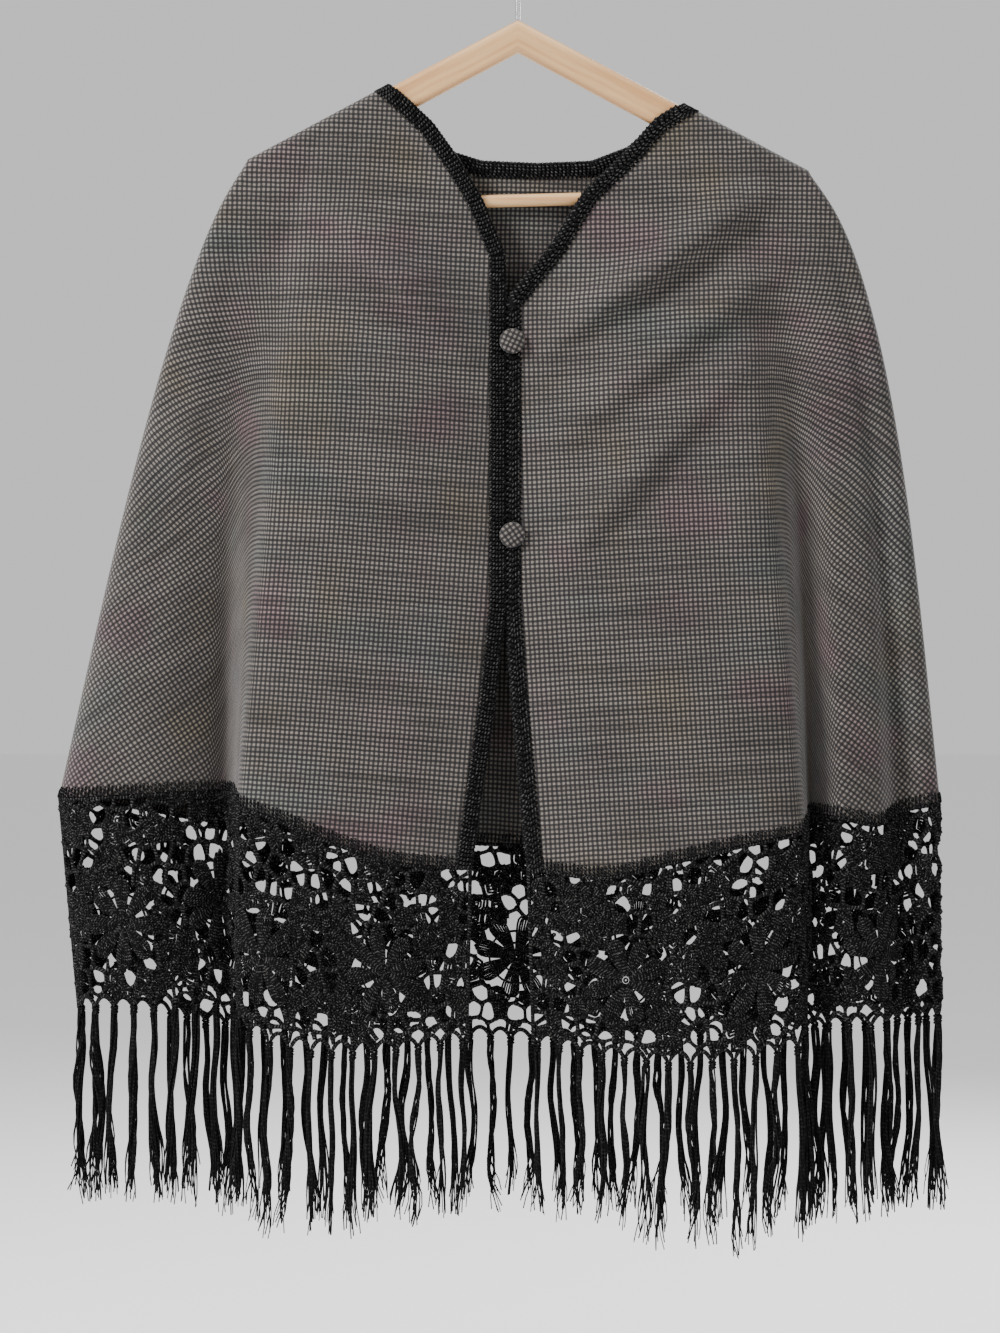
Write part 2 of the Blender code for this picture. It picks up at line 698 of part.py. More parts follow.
def make_bar(collection):
    """The round bar between the legs of the hanger."""
    reach = ARM_HALF_SPAN - ARM_LEG_WIDTH - SEAM_GAP - 0.2
    left = Vector((-reach, 0, BAR_LEFT_Z))
    right = Vector((reach, 0, BAR_RIGHT_Z))
    rise = right - left
    bpy.ops.mesh.primitive_cylinder_add(vertices=16, radius=BAR_RADIUS * MM, depth=rise.length * MM)
    bar = bpy.context.object
    bar.name = "hanger_bar"
    for holder in list(bar.users_collection):
        holder.objects.unlink(bar)
    collection.objects.link(bar)
    bar.data.materials.append(material_of("hanger_bar", "pale_wood"))
    bar.location = (left + right) * MM / 2
    bar.rotation_euler = rise.to_track_quat("Z", "Y").to_euler()
    bar.data.shade_smooth()
    return bar


def make_hook(collection):
    """The steel wire hook, from its foot on the arms, round to its free end."""
    middle = HOOK_RADIUS + HOOK_WIRE
    path = [Vector((0, 0, ridge_z(0) - 3.0)), Vector((0, 0, -58)), Vector((1.5, 0, -52)), Vector((8, 0, -46))]
    for degrees in range(-52, 206, 14):
        turn = math.radians(degrees)
        path.append(Vector((middle * math.cos(turn), 0, -HOOK_RADIUS + middle * math.sin(turn))))
    curve = bpy.data.curves.new("hook_wire", "CURVE")
    curve.dimensions = "3D"
    curve.bevel_depth = HOOK_WIRE * MM
    curve.bevel_resolution = 2
    curve.use_fill_caps = True
    spline = curve.splines.new("POLY")
    spline.points.add(len(path) - 1)
    for point, spot in zip(spline.points, path):
        point.co = (*(spot * MM), 1)
    mesh = mesh_of_curve(curve, "hanger_hook")
    mesh.shade_smooth()
    return place("hanger_hook", mesh, collection, "steel")


def make_button(name, height, panel, collection):
    """A domed button covered in the cloth, sewn to the right band by its shank."""
    band_x = FRONT_EDGE_RIGHT[0].x - SEAM_GAP - BAND_WIDTH / 2
    down = (height - NECK_RIGHT[0].z) / (panel.folds[0].hem_z - NECK_RIGHT[0].z)
    face_y = panel.point(0.0, down).y - BAND_WALL / 2 - SEAM_GAP
    profile = [(0.0, 0.0), (2.5, 0.0), (2.5, 1.6), (7.5, 1.9), (BUTTON_RADIUS, 3.0), (9.2, 4.6),
               (6.4, 5.9), (3.2, 6.4), (0.0, BUTTON_HEIGHT)]
    editor = bmesh.new()
    chain = [editor.verts.new((radius * MM, 0, rise * MM)) for radius, rise in profile]
    for a, b in zip(chain, chain[1:]):
        editor.edges.new((a, b))
    mesh = bpy.data.meshes.new(name)
    editor.to_mesh(mesh)
    editor.free()
    button = place(name, mesh, collection, "checked_wool")
    turned = button.modifiers.new("Turned", "SCREW")
    turned.axis = "Z"
    turned.steps = 16
    turned.render_steps = 16
    turned.use_merge_vertices = True
    turned.merge_threshold = 0.00005
    turned.use_normal_calculate = True
    button.location = (band_x * MM, face_y * MM, height * MM)
    button.rotation_euler = (math.pi / 2, 0, 0)
    return button


def main():
    for item in list(bpy.data.objects):
        bpy.data.objects.remove(item, do_unlink=True)
    collection = new_collection("ruana_wrap_on_hanger")
    left, right, back = make_panels()
    left_cloth = make_cloth(left, collection)
    right_cloth = make_cloth(right, collection)
    back_cloth = make_cloth(back, collection)
    make_edging("edging_left", left_cloth, left, front_edge_cells(left), collection)
    make_edging("edging_right", right_cloth, right, front_edge_cells(right), collection)
    corners = [back.corner_positions()[1], back.corner_positions()[1 + len(CORNER_STEPS)]]
    back_neck = [(0, c) for c, p in enumerate(back.positions()) if corners[0] <= p <= corners[1]]
    make_edging("edging_back", back_cloth, back, back_neck, collection)
    make_lace("lace_left", left, LEFT_FLOWERS, 3, collection)
    make_lace("lace_right", right, RIGHT_FLOWERS, 5, collection)
    make_lace("lace_back", back, BACK_FLOWERS, 8, collection)
    make_fringe("fringe_left", left, 11, collection)
    make_fringe("fringe_right", right, 12, collection)
    make_fringe("fringe_back", back, 13, collection)
    make_button("button_upper", -327.6, right, collection)
    make_button("button_lower", -479.7, right, collection)
    make_hanger(collection)
    make_bar(collection)
    make_hook(collection)


main()
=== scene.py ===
# %% [markdown]
# # A checked ruana wrap on its hanger
# The wrap is a half circle of wool, buttoned twice at the front. Its neck and front edges
# carry a crocheted band, and its hem a deep net with thick flowers and a knotted fringe.
# The frame below holds the plain solids of the same pieces. Every piece made here lies on
# one of them, so the sizes are those of the frame and nothing is fitted afterwards.

# %% Open the frame
import math
import random
from collections import namedtuple

import bpy
import bmesh
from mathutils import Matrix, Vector, noise
from mathutils.geometry import delaunay_2d_cdt


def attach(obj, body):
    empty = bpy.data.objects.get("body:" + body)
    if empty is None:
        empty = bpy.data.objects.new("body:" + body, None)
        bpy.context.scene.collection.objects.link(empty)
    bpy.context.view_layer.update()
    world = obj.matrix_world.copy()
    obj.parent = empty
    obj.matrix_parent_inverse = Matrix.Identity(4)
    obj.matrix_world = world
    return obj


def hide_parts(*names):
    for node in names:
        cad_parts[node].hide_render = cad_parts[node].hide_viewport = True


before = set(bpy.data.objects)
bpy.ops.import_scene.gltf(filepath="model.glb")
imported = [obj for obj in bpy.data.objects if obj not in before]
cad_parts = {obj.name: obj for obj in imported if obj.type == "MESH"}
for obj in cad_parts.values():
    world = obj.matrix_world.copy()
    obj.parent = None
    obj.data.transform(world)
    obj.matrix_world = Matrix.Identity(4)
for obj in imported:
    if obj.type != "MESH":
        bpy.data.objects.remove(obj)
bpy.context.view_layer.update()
MM = 0.001
print("nodes in the frame:", len(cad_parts))

# %% [markdown]
# ## Camera, floor and light
# The photograph looks straight at the fronts, level with the middle of the wrap. One pixel of
# its 1000 by 1333 stands for 0.78 mm at the cloth, which gives the lens from the distance.
# Large soft lamps and a pale floor and sky are enough: wool and yarn show their shape in
# soft light.

# %% Camera
PIXEL = 0.78 * MM
PHOTO_SIZE = (1000, 1333)
ORIGIN_PIXEL = (518, -80)
CAMERA_DISTANCE = 3.2
CLOTH_FRONT = 0.025
SENSOR = 36.0

camera_data = bpy.data.cameras.new("camera")
camera = bpy.data.objects.new("camera", camera_data)
bpy.context.scene.collection.objects.link(camera)
camera_data.sensor_fit = "AUTO"
camera_data.sensor_width = SENSOR
camera_data.lens = SENSOR * (CAMERA_DISTANCE - CLOTH_FRONT) / (PHOTO_SIZE[1] * PIXEL)
camera.location = ((PHOTO_SIZE[0] / 2 - ORIGIN_PIXEL[0]) * PIXEL, -CAMERA_DISTANCE,
                   -(PHOTO_SIZE[1] / 2 - ORIGIN_PIXEL[1]) * PIXEL)
camera.rotation_euler = (math.pi / 2, 0, 0)
bpy.context.scene.camera = camera
print("lens:", round(camera_data.lens, 1), "mm")

# %% Floor and sky
FLOOR_Z = -1.30
FLOOR_SIZE = 60.0
FLOOR_GREY = (0.93, 0.93, 0.93, 1)
SKY_STRENGTH = 0.74

bpy.ops.mesh.primitive_plane_add(size=FLOOR_SIZE, location=(0, 0, FLOOR_Z))
floor = bpy.context.object
floor.name = "floor"
floor_paint = bpy.data.materials.new("pale_floor")
floor_paint.use_nodes = True
floor_shader = floor_paint.node_tree.nodes["Principled BSDF"]
floor_shader.inputs["Base Color"].default_value = FLOOR_GREY
floor_shader.inputs["Roughness"].default_value = 0.9
floor.data.materials.append(floor_paint)

world = bpy.data.worlds.new("pale_sky")
bpy.context.scene.world = world
world.use_nodes = True
world.node_tree.nodes["Background"].inputs["Color"].default_value = (1, 1, 1, 1)
world.node_tree.nodes["Background"].inputs["Strength"].default_value = SKY_STRENGTH
print("floor at", FLOOR_Z, "m, sky strength", SKY_STRENGTH)

# %% Lamps
Lamp = namedtuple("Lamp", "name place size power")
LAMPS = [
    Lamp("key", (-2.4, -1.5, 1.5), 1.0, 210),
    Lamp("fill", (2.2, -2.4, -0.1), 1.8, 14),
    Lamp("top", (0.2, -0.3, 1.7), 1.2, 18),
    Lamp("rear", (1.2, 2.4, 1.0), 1.4, 90),
]
for lamp in LAMPS:
    light = bpy.data.lights.new(lamp.name, "AREA")
    light.size = lamp.size
    light.energy = lamp.power
    holder = bpy.data.objects.new(lamp.name, light)
    bpy.context.scene.collection.objects.link(holder)
    holder.location = lamp.place
    aim = Vector((0, 0, -0.55)) - Vector(lamp.place)
    holder.rotation_euler = aim.to_track_quat("-Z", "Y").to_euler()
print("lamps:", len(LAMPS))

# %% [markdown]
# ## Expressions for node trees
# A material is easier to read as arithmetic than as a list of links. `Value` wraps the output
# of a node and adds a Math node for each operator. `Graph.node` makes any other node from its
# type, its settings and its inputs, and a dictionary of inputs may hold numbers or Values.

# %% Node helpers
class Value:
    """One output of a node, which can be used in Python expressions."""

    def __init__(self, graph, socket):
        self.graph = graph
        self.socket = socket

    def math(self, operation, first, second=0.0):
        return self.graph.node("ShaderNodeMath", {"operation": operation}, {0: first, 1: second})

    def __add__(self, other):
        return self.math("ADD", self, other)

    def __sub__(self, other):
        return self.math("SUBTRACT", self, other)

    def __mul__(self, other):
        return self.math("MULTIPLY", self, other)

    def __rmul__(self, other):
        return self.math("MULTIPLY", other, self)

    def __abs__(self):
        return self.math("ABSOLUTE", self)

    def sine(self):
        return self.math("SINE", self)


class Graph:
    """A node tree that is built by calls."""

    def __init__(self, tree):
        self.tree = tree

    def node(self, kind, settings=None, inputs=None, output=0):
        made = self.tree.nodes.new(kind)
        for name, setting in (settings or {}).items():
            setattr(made, name, setting)
        for key, given in (inputs or {}).items():
            if isinstance(given, Value):
                self.tree.links.new(given.socket, made.inputs[key])
            else:
                made.inputs[key].default_value = given
        return Value(self, made.outputs[output])

    def ramp(self, factor, low, high):
        """0 below low, 1 above high, and a soft step between them."""
        return self.node("ShaderNodeMapRange", {"interpolation_type": "SMOOTHSTEP"},
                         {"Value": factor, "From Min": low, "From Max": high})

    def blend(self, factor, first, second, kind="MIX"):
        """Mixes two colours."""
        return self.node("ShaderNodeMix", {"data_type": "RGBA", "blend_type": kind},
                         {0: factor, 6: first, 7: second}, 2)

    def noise(self, place, scale, detail=2.0, output=0):
        inputs = {"Vector": place, "Scale": scale, "Detail": detail}
        return self.node("ShaderNodeTexNoise", {}, inputs, output)

    def stretched(self, place, scale):
        return self.node("ShaderNodeMapping", {}, {"Vector": place, "Scale": scale})


def new_material(name, roughness, metallic=0.0):
    """A material with its graph and its Principled shader."""
    material = bpy.data.materials.new(name)
    material.use_nodes = True
    shader = material.node_tree.nodes["Principled BSDF"]
    shader.inputs["Roughness"].default_value = roughness
    shader.inputs["Metallic"].default_value = metallic
    return material, Graph(material.node_tree), shader


def feed(graph, shader, name, value):
    graph.tree.links.new(value.socket, shader.inputs[name])


def bump(graph, shader, height, distance, strength=1.0):
    made = graph.node("ShaderNodeBump", {}, {"Height": height, "Distance": distance, "Strength": strength})
    feed(graph, shader, "Normal", made)


# %% [markdown]
# ## The wool
# The cloth is a tiny two-tone check, one repeat every 3.7 mm: where a light warp crosses a
# light weft the square is pale, where both are dark it is black, and the rest is a half tone
# of fine twill lines. The yarn was dyed unevenly, so soft patches of plum, olive and
# grey-green lie over it, and darker picks make short streaks along the weft. The pattern reads
# the cloth's own map, which is its flat shape in metres, so it turns with the folds.

# %% Wool material
CHECK_REPEAT = 3.7 * MM
PALE = (0.160, 0.139, 0.123, 1)
HALF = (0.041, 0.036, 0.034, 1)
BLACK = (0.012, 0.011, 0.012, 1)
PLAIN = (1, 1, 1, 1)
PLUM = (1.05, 0.84, 0.94, 1)
OLIVE = (1.02, 0.98, 0.84, 1)
TEAL = (0.80, 0.98, 1.02, 1)
TWILL_LINES = 5
THREAD_WOBBLE = 1.2 * MM
WEAVE_RELIEF = 0.4 * MM


def wool_check(name, repeat=CHECK_REPEAT):
    material, graph, shader = new_material(name, 0.92)
    shader.inputs["Sheen Weight"].default_value = 0.18
    shader.inputs["Sheen Roughness"].default_value = 0.5
    shader.inputs["Specular IOR Level"].default_value = 0.2
    flat = graph.node("ShaderNodeUVMap", {"uv_map": "cloth"})
    wobble = graph.noise(flat, 90.0, output=1)
    place = graph.node("ShaderNodeVectorMath", {"operation": "MULTIPLY_ADD"},
                       {0: wobble, 1: (THREAD_WOBBLE, THREAD_WOBBLE, 0), 2: flat})
    parts = [graph.node("ShaderNodeSeparateXYZ", {}, {0: place}, axis) for axis in (0, 1)]
    turns = 2 * math.pi / repeat
    warp, weft = [graph.ramp((part * turns).sine() + 0.05, -0.35, 0.35) for part in parts]
    twill = ((parts[0] + parts[1]) * (turns * TWILL_LINES)).sine() * 0.5 + 0.5
    both = warp * weft
    either = warp + weft - 2 * both
    colour = graph.blend(either, BLACK, graph.blend(twill * 0.6 + 0.4, BLACK, HALF))
    colour = graph.blend(both, colour, PALE)
    patches = graph.noise(flat, 11.0, 3.0)
    plum = graph.ramp(patches, 0.52, 0.68)
    olive = graph.ramp(patches, 0.46, 0.30)
    teal = graph.ramp(graph.noise(graph.stretched(flat, (7, 13, 1)), 1.0, 2.0), 0.5, 0.7)
    tint = graph.blend(plum, PLAIN, PLUM)
    tint = graph.blend(olive, tint, OLIVE)
    tint = graph.blend(teal * 0.6, tint, TEAL)
    streaks = graph.noise(graph.stretched(flat, (8, 300, 1)), 1.0, 4.0)
    clouds = graph.noise(graph.stretched(flat, (14, 30, 1)), 1.0, 3.0)
    shade = graph.ramp(streaks, 0.30, 0.62) * 0.36
    shade = shade + graph.ramp(clouds, 0.30, 0.66) * 0.24 + 0.52
    fuzz = graph.noise(flat, 2600.0, 1.0)
    grey = graph.node("ShaderNodeCombineColor", {}, {0: shade, 1: shade, 2: shade})
    colour = graph.blend(1.0, colour, tint, "MULTIPLY")
    colour = graph.blend(1.0, colour, grey, "MULTIPLY")
    feed(graph, shader, "Base Color", colour)
    height = both * 0.6 + either * twill * 0.4 + fuzz * 0.5
    bump(graph, shader, height, WEAVE_RELIEF, 0.6)
    return material


wool = wool_check("checked_wool_cloth")
print("material:", wool.name)

# %% [markdown]
# ## The crochet yarn
# The bands, the net, the flowers and the fringe are one soft black yarn. Each cord made below
# stores how far along and how far round it a point lies, so the ply of the yarn is a slanted
# wave over these two numbers. A lighter grey is painted on the crest of each ply, broken up by
# a fine speckle, as a painted highlight.

# %% Yarn material
# The lighter grey of each pair is a painted highlight on the crests of the ply.
YARN_BLACK = (0.0035, 0.0035, 0.004, 1)
YARN_LIT = (0.090, 0.087, 0.083, 1)
FRINGE_BLACK = (0.003, 0.003, 0.0035, 1)
FRINGE_LIT = (0.030, 0.029, 0.028, 1)


def twisted_yarn(name, base, lit, ply, depth):
    material, graph, shader = new_material(name, 0.85)
    shader.inputs["Specular IOR Level"].default_value = 0.08
    along = graph.node("ShaderNodeAttribute", {"attribute_name": "along"}, {}, 2)
    around = graph.node("ShaderNodeAttribute", {"attribute_name": "around"}, {}, 1)
    place = graph.node("ShaderNodeTexCoord", {}, {}, 3)
    cosine, sine = [graph.node("ShaderNodeSeparateXYZ", {}, {0: around}, axis) for axis in (0, 1)]
    turn = along * (2 * math.pi / ply)
    wave = (turn.sine() * cosine + (turn + math.pi / 2).sine() * sine) * 0.5 + 0.5
    # Painted highlight: the crests of the ply, broken up by a fine speckle, get the lighter grey.
    speckle = graph.noise(place, 420.0, 3.0)
    painted_highlight = graph.ramp(wave, 0.5, 1.0) * graph.ramp(speckle, 0.40, 0.66)
    colour = graph.blend(painted_highlight, base, lit)
    feed(graph, shader, "Base Color", colour)
    bump(graph, shader, wave + speckle * 0.6, depth, 0.8)
    return material


crochet_yarn = twisted_yarn("black_crochet_yarn", YARN_BLACK, YARN_LIT, ply=2.4 * MM, depth=0.7 * MM)
fringe_yarn = twisted_yarn("black_fringe_yarn", FRINGE_BLACK, FRINGE_LIT, ply=3.0 * MM, depth=0.2 * MM)
print("yarns:", crochet_yarn.name, fringe_yarn.name)

# %% [markdown]
# ## The hanger's wood and steel
# The arms and the bar are pale beech under a satin varnish. The grain runs along each arm, so
# the pattern is stretched along the arm's own slope, mirrored at the crown.

# %% Wood and steel materials
ARM_SLOPE = 0.535
EARLY_WOOD = (0.62, 0.375, 0.17, 1)
LATE_WOOD = (0.47, 0.245, 0.095, 1)
PORE = (0.32, 0.18, 0.09, 1)
GRAIN = (9.0, 160.0)
FINE_GRAIN = (90.0, 1500.0)
STEEL_GREY = (0.62, 0.62, 0.64, 1)
WOOD_RELIEF = 0.2 * MM
STEEL_RELIEF = 0.05 * MM


def pale_beech(name, slope):
    material, graph, shader = new_material(name, 0.42)
    shader.inputs["Coat Roughness"].default_value = 0.25
    shader.inputs["Coat Weight"].default_value = 0.25
    place = graph.node("ShaderNodeTexCoord", {}, {}, 3)
    x, y, z = [graph.node("ShaderNodeSeparateXYZ", {}, {0: place}, axis) for axis in range(3)]
    lean = math.atan(slope)
    side = abs(x) if slope else x
    along = side * math.cos(lean) - z * math.sin(lean)
    across = side * math.sin(lean) + z * math.cos(lean)
    rings, pores = [
        graph.noise(graph.node("ShaderNodeCombineXYZ", {}, {0: along * slow, 1: y * fast, 2: across * fast}),
                    1.0, detail)
        for (slow, fast), detail in ((GRAIN, 4.0), (FINE_GRAIN, 1.0))]
    colour = graph.blend(graph.ramp(rings, 0.32, 0.68), LATE_WOOD, EARLY_WOOD)
    colour = graph.blend(graph.ramp(pores, 0.62, 0.78) * 0.35, colour, PORE)
    feed(graph, shader, "Base Color", colour)
    bump(graph, shader, rings + pores * 0.5, WOOD_RELIEF, 0.3)
    return material


def drawn_steel(name):
    material, graph, shader = new_material(name, 0.24, 1.0)
    shader.inputs["Base Color"].default_value = STEEL_GREY
    place = graph.node("ShaderNodeTexCoord", {}, {}, 3)
    smears = graph.noise(place, 220.0, 3.0)
    feed(graph, shader, "Roughness", smears * 0.22 + 0.14)
    bump(graph, shader, graph.noise(place, 1900.0, 1.0), STEEL_RELIEF, 0.3)
    return material


arm_wood = pale_beech("pale_beech_arms", ARM_SLOPE)
bar_wood = pale_beech("pale_beech_bar", 0.0)
steel = drawn_steel("drawn_steel_wire")
print("hanger materials:", arm_wood.name, bar_wood.name, steel.name)

# %% [markdown]
# ## How the wrap hangs
# The cloth is one surface for each panel, worked out from a short table. Every row of a table
# is one fold line: where it leaves the neck or the shoulder, how far it bows out, where it
# meets the hem, and where the lace and the fringe under it end. Between the rows the surface
# is a smooth curve. The same rows shaped the frame's solids, so the fine cloth lies in them.
# Two finer tables hold what only the cloth has: the soft creases that run up from the
# buttons, with a dart at each shoulder, and the narrow valleys at the bottom of the side folds.

# %% Tables of the drape, in millimetres
CLOTH_WALL = 1.6
SEAM_GAP = 0.3
RIM_LEAN = 0.4
BAND_WIDTH = 10.0
RIDGE_CROWN = -71.0
RIDGE_SLOPE = ARM_SLOPE
RIDGE_ROUND = 8.2
BULGE_POWER = 0.6
BULGE_START = 0.03
FOLD_GROWTH = 1.15

EdgePoint = namedtuple("EdgePoint", "x z")
NECK_LEFT = [EdgePoint(*row) for row in (
    (-20.8, -262), (-38, -220), (-57, -188), (-75, -163), (-92, -147), (-111, -130.4))]
NECK_RIGHT = [EdgePoint(*row) for row in (
    (0.8, -300), (12, -286), (35, -258), (60, -217), (94, -185), (115, -161), (140, -145.9))]
NECK_BACK = [EdgePoint(*row) for row in (
    (-111, -130.4), (-88, -158), (-62, -185), (-30, -195), (14, -197), (60, -195), (92, -183), (116, -163),
    (140, -145.9))]
TIP_LEFT = EdgePoint(-212, -184.4)
TIP_RIGHT = EdgePoint(228, -193)
FRONT_EDGE_LEFT = [EdgePoint(*row) for row in ((-20.8, -262), (-20.8, -535), (-29, -610), (-47, -737))]
FRONT_EDGE_RIGHT = [EdgePoint(*row) for row in ((0.8, -300), (0.8, -535), (6, -610), (18, -739))]

Fold = namedtuple("Fold", "top bulge hem_x hem_y hem_z starts lace_x lace_z tip_z")
LEFT_FOLDS = [Fold(*row) for row in (
    (0.00, 0, -47, -46, -737, 0.00, -50, -874, -1012),
    (0.20, 0, -92, -54, -733, 0.00, -94, -880, -1020),
    (0.40, 0, -138, -57, -719, 0.00, -139, -882, -1028),
    (0.60, 2, -182, -55, -701, 0.00, -182, -878, -1026),
    (0.73, 6, -213, -47, -690, 0.00, -212, -864, -1012),
    (0.79, 14, -219, -30, -684, 0.15, -217, -856, -1004),
    (0.84, 22, -224, -15, -680, 0.25, -221, -850, -998),
    (0.88, 26, -246, -14, -679, 0.22, -240, -848, -997),
    (0.92, 24, -290, -27, -681, 0.10, -282, -848, -999),
    (0.97, 20, -340, -21, -684, 0.05, -326, -850, -1002),
    (1.00, 19, -360, 0, -685, 0.00, -345, -851, -1004))]
RIGHT_FOLDS = [Fold(*row) for row in (
    (0.00, 0, 18, -46, -739, 0.00, 22, -876, -1010),
    (0.18, 0, 66, -57, -744, 0.00, 68, -884, -1022),
    (0.38, 0, 116, -58, -733, 0.00, 117, -890, -1034),
    (0.58, 2, 166, -56, -721, 0.00, 166, -888, -1036),
    (0.72, 6, 214, -50, -711, 0.00, 213, -880, -1032),
    (0.79, 10, 224, -33, -704, 0.10, 223, -872, -1026),
    (0.84, 16, 229, -17, -697, 0.20, 228, -864, -1018),
    (0.89, 24, 252, -32, -699, 0.10, 252, -862, -1018),
    (0.93, 27, 280, -25, -704, 0.05, 281, -864, -1020),
    (0.955, 27, 296, -9, -696, 0.15, 297, -860, -1014),
    (0.98, 27, 318, -12, -690, 0.10, 320, -858, -1010),
    (1.00, 28, 331, 0, -689, 0.00, 332, -858, -1010))]
BACK_FOLDS = [Fold(*row) for row in (
    (0.00, 19, -360, 0, -685, 0.00, -345, -851, -1004),
    (0.03, 20, -346, 22, -687, 0.00, -332, -852, -1006),
    (0.07, 18, -303, 39, -693, 0.00, -292, -856, -1010),
    (0.14, 10, -250, 25, -702, 0.10, -246, -864, -1014),
    (0.24, 4, -190, 50, -711, 0.00, -188, -872, -1020),
    (0.34, 0, -122, 33, -718, 0.10, -121, -876, -1020),
    (0.45, 0, -45, 55, -722, 0.00, -45, -878, -1016),
    (0.55, 0, 22, 38, -723, 0.10, 22, -880, -1012),
    (0.66, 0, 96, 56, -721, 0.00, 96, -880, -1018),
    (0.76, 4, 166, 33, -715, 0.10, 167, -876, -1024),
    (0.85, 10, 226, 49, -708, 0.00, 227, -872, -1024),
    (0.92, 18, 274, 26, -700, 0.10, 275, -866, -1020),
    (0.97, 24, 313, 31, -693, 0.00, 315, -862, -1014),
    (1.00, 28, 331, 0, -689, 0.00, 332, -858, -1010))]

Crease = namedtuple("Crease", "from_x from_z to_x to_z width depth")
FRONT_CREASES = [Crease(*row) for row in (
    (14, -338, 205, -206, 22, 15.0),
    (22, -412, 214, -262, 26, 9.0),
    (34, -490, 196, -330, 24, 7.0),
    (30, -505, 120, -420, 16, 4.5),
    (-32, -346, -150, -222, 24, 9.0),
    (-36, -420, -186, -300, 26, 7.5),
    (-34, -500, -130, -400, 20, 5.0),
    (119, -158, 143.5, -221, 3.2, -1.4),
    (-116, -140, -132, -192, 3.2, -1.0))]

Groove = namedtuple("Groove", "position width depth start")
LEFT_GROOVES = [Groove(6.35, 0.55, 11.0, 0.25)]
RIGHT_GROOVES = [Groove(6.0, 0.50, 12.0, 0.25), Groove(9.3, 0.50, 5.0, 0.40)]

Flower = namedtuple("Flower", "along down radius")
LEFT_FLOWERS = [Flower(*row) for row in (
    (57, 80, 30), (161, 86, 30), (239, 68, 29), (318, 82, 30))]
RIGHT_FLOWERS = [Flower(*row) for row in (
    (66, 78, 31), (174, 81, 30), (249, 62, 28), (322, 88, 29))]
BACK_FLOWERS = [Flower(*row) for row in (
    (38, 104, 28), (112, 74, 29), (202, 102, 30), (294, 76, 29), (394, 96, 36), (494, 76, 29),
    (590, 102, 30), (676, 74, 29), (728, 116, 26))]
print("fold lines:", len(LEFT_FOLDS) + len(RIGHT_FOLDS) + len(BACK_FOLDS))

# %% Surface of a panel
CORNER_STEPS = (-2.0, 0.0, 2.0, 4.0, 6.0, 9.0, 13.0, 18.0)
FIRST_ROWS = (0.0, 0.0015, 0.003, 0.005, 0.008, 0.012, 0.018, 0.026, 0.036, 0.05)
EVEN_ROWS = 96
COLUMNS_PER_FOLD = 8
WRINKLE_SIZE = 70.0
WRINKLE_HEIGHT = 3.6
WRINKLE_STRETCH = 1.6
WRINKLE_SHIFT = 3.1
CALM_TOP = 12
CALM_FADE = 90
CALM_EDGE = 30
STEEP_SIDE = 0.42


def mix(first, second, share):
    return first + (second - first) * share


def smooth(share):
    share = min(max(share, 0.0), 1.0)
    return share * share * (3 - 2 * share)


def path_length(path):
    return sum(math.dist(a, b) for a, b in zip(path, path[1:]))


def between(rows, position, before, after):
    """The row at a position between the rows of a table, on a smooth curve."""
    index = min(int(position), len(rows) - 2)
    share = position - index
    p0 = rows[index - 1] if index else before
    p3 = rows[index + 2] if index + 2 < len(rows) else after
    values = []
    for a, b, c, d in zip(p0, rows[index], rows[index + 1], p3):
        cubic = (2 * b + (c - a) * share + (2 * a - 5 * b + 4 * c - d) * share ** 2
                 + (3 * b - a - 3 * c + d) * share ** 3)
        values.append(cubic / 2)
    return Fold(*values)


def reflected(end, inner):
    return type(end)(*(2 * e - i for e, i in zip(end, inner)))


def along_path(path, share):
    target = min(max(share, 0.0), 1.0) * path_length(path)
    for start, end in zip(path, path[1:]):
        span = math.dist(start, end)
        if target <= span or end is path[-1]:
            return EdgePoint(mix(start.x, end.x, target / span), mix(start.z, end.z, target / span))
        target -= span


def at_height(path, z):
    for start, end in zip(path, path[1:]):
        if z >= end.z or end is path[-1]:
            return mix(start.x, end.x, (z - start.z) / (end.z - start.z))


def ridge_z(x):
    return RIDGE_CROWN - RIDGE_SLOPE * abs(x)


def quarter_round(distance):
    share = min(max(distance / RIDGE_ROUND, 0.0), 1.0)
    return math.sqrt(1 - (1 - share) ** 2)


def crease_depth(creases, x, z):
    total = 0.0
    for crease in creases:
        run_x, run_z = crease.to_x - crease.from_x, crease.to_z - crease.from_z
        span = math.hypot(run_x, run_z)
        share = ((x - crease.from_x) * run_x + (z - crease.from_z) * run_z) / span ** 2
        if 0 < share < 1:
            off = ((x - crease.from_x) * run_z - (z - crease.from_z) * run_x) / span / crease.width
            if off * run_x > 0:
                off /= STEEP_SIDE
            total += crease.depth * math.sin(math.pi * share) ** 0.8 * math.exp(-off * off)
    return total


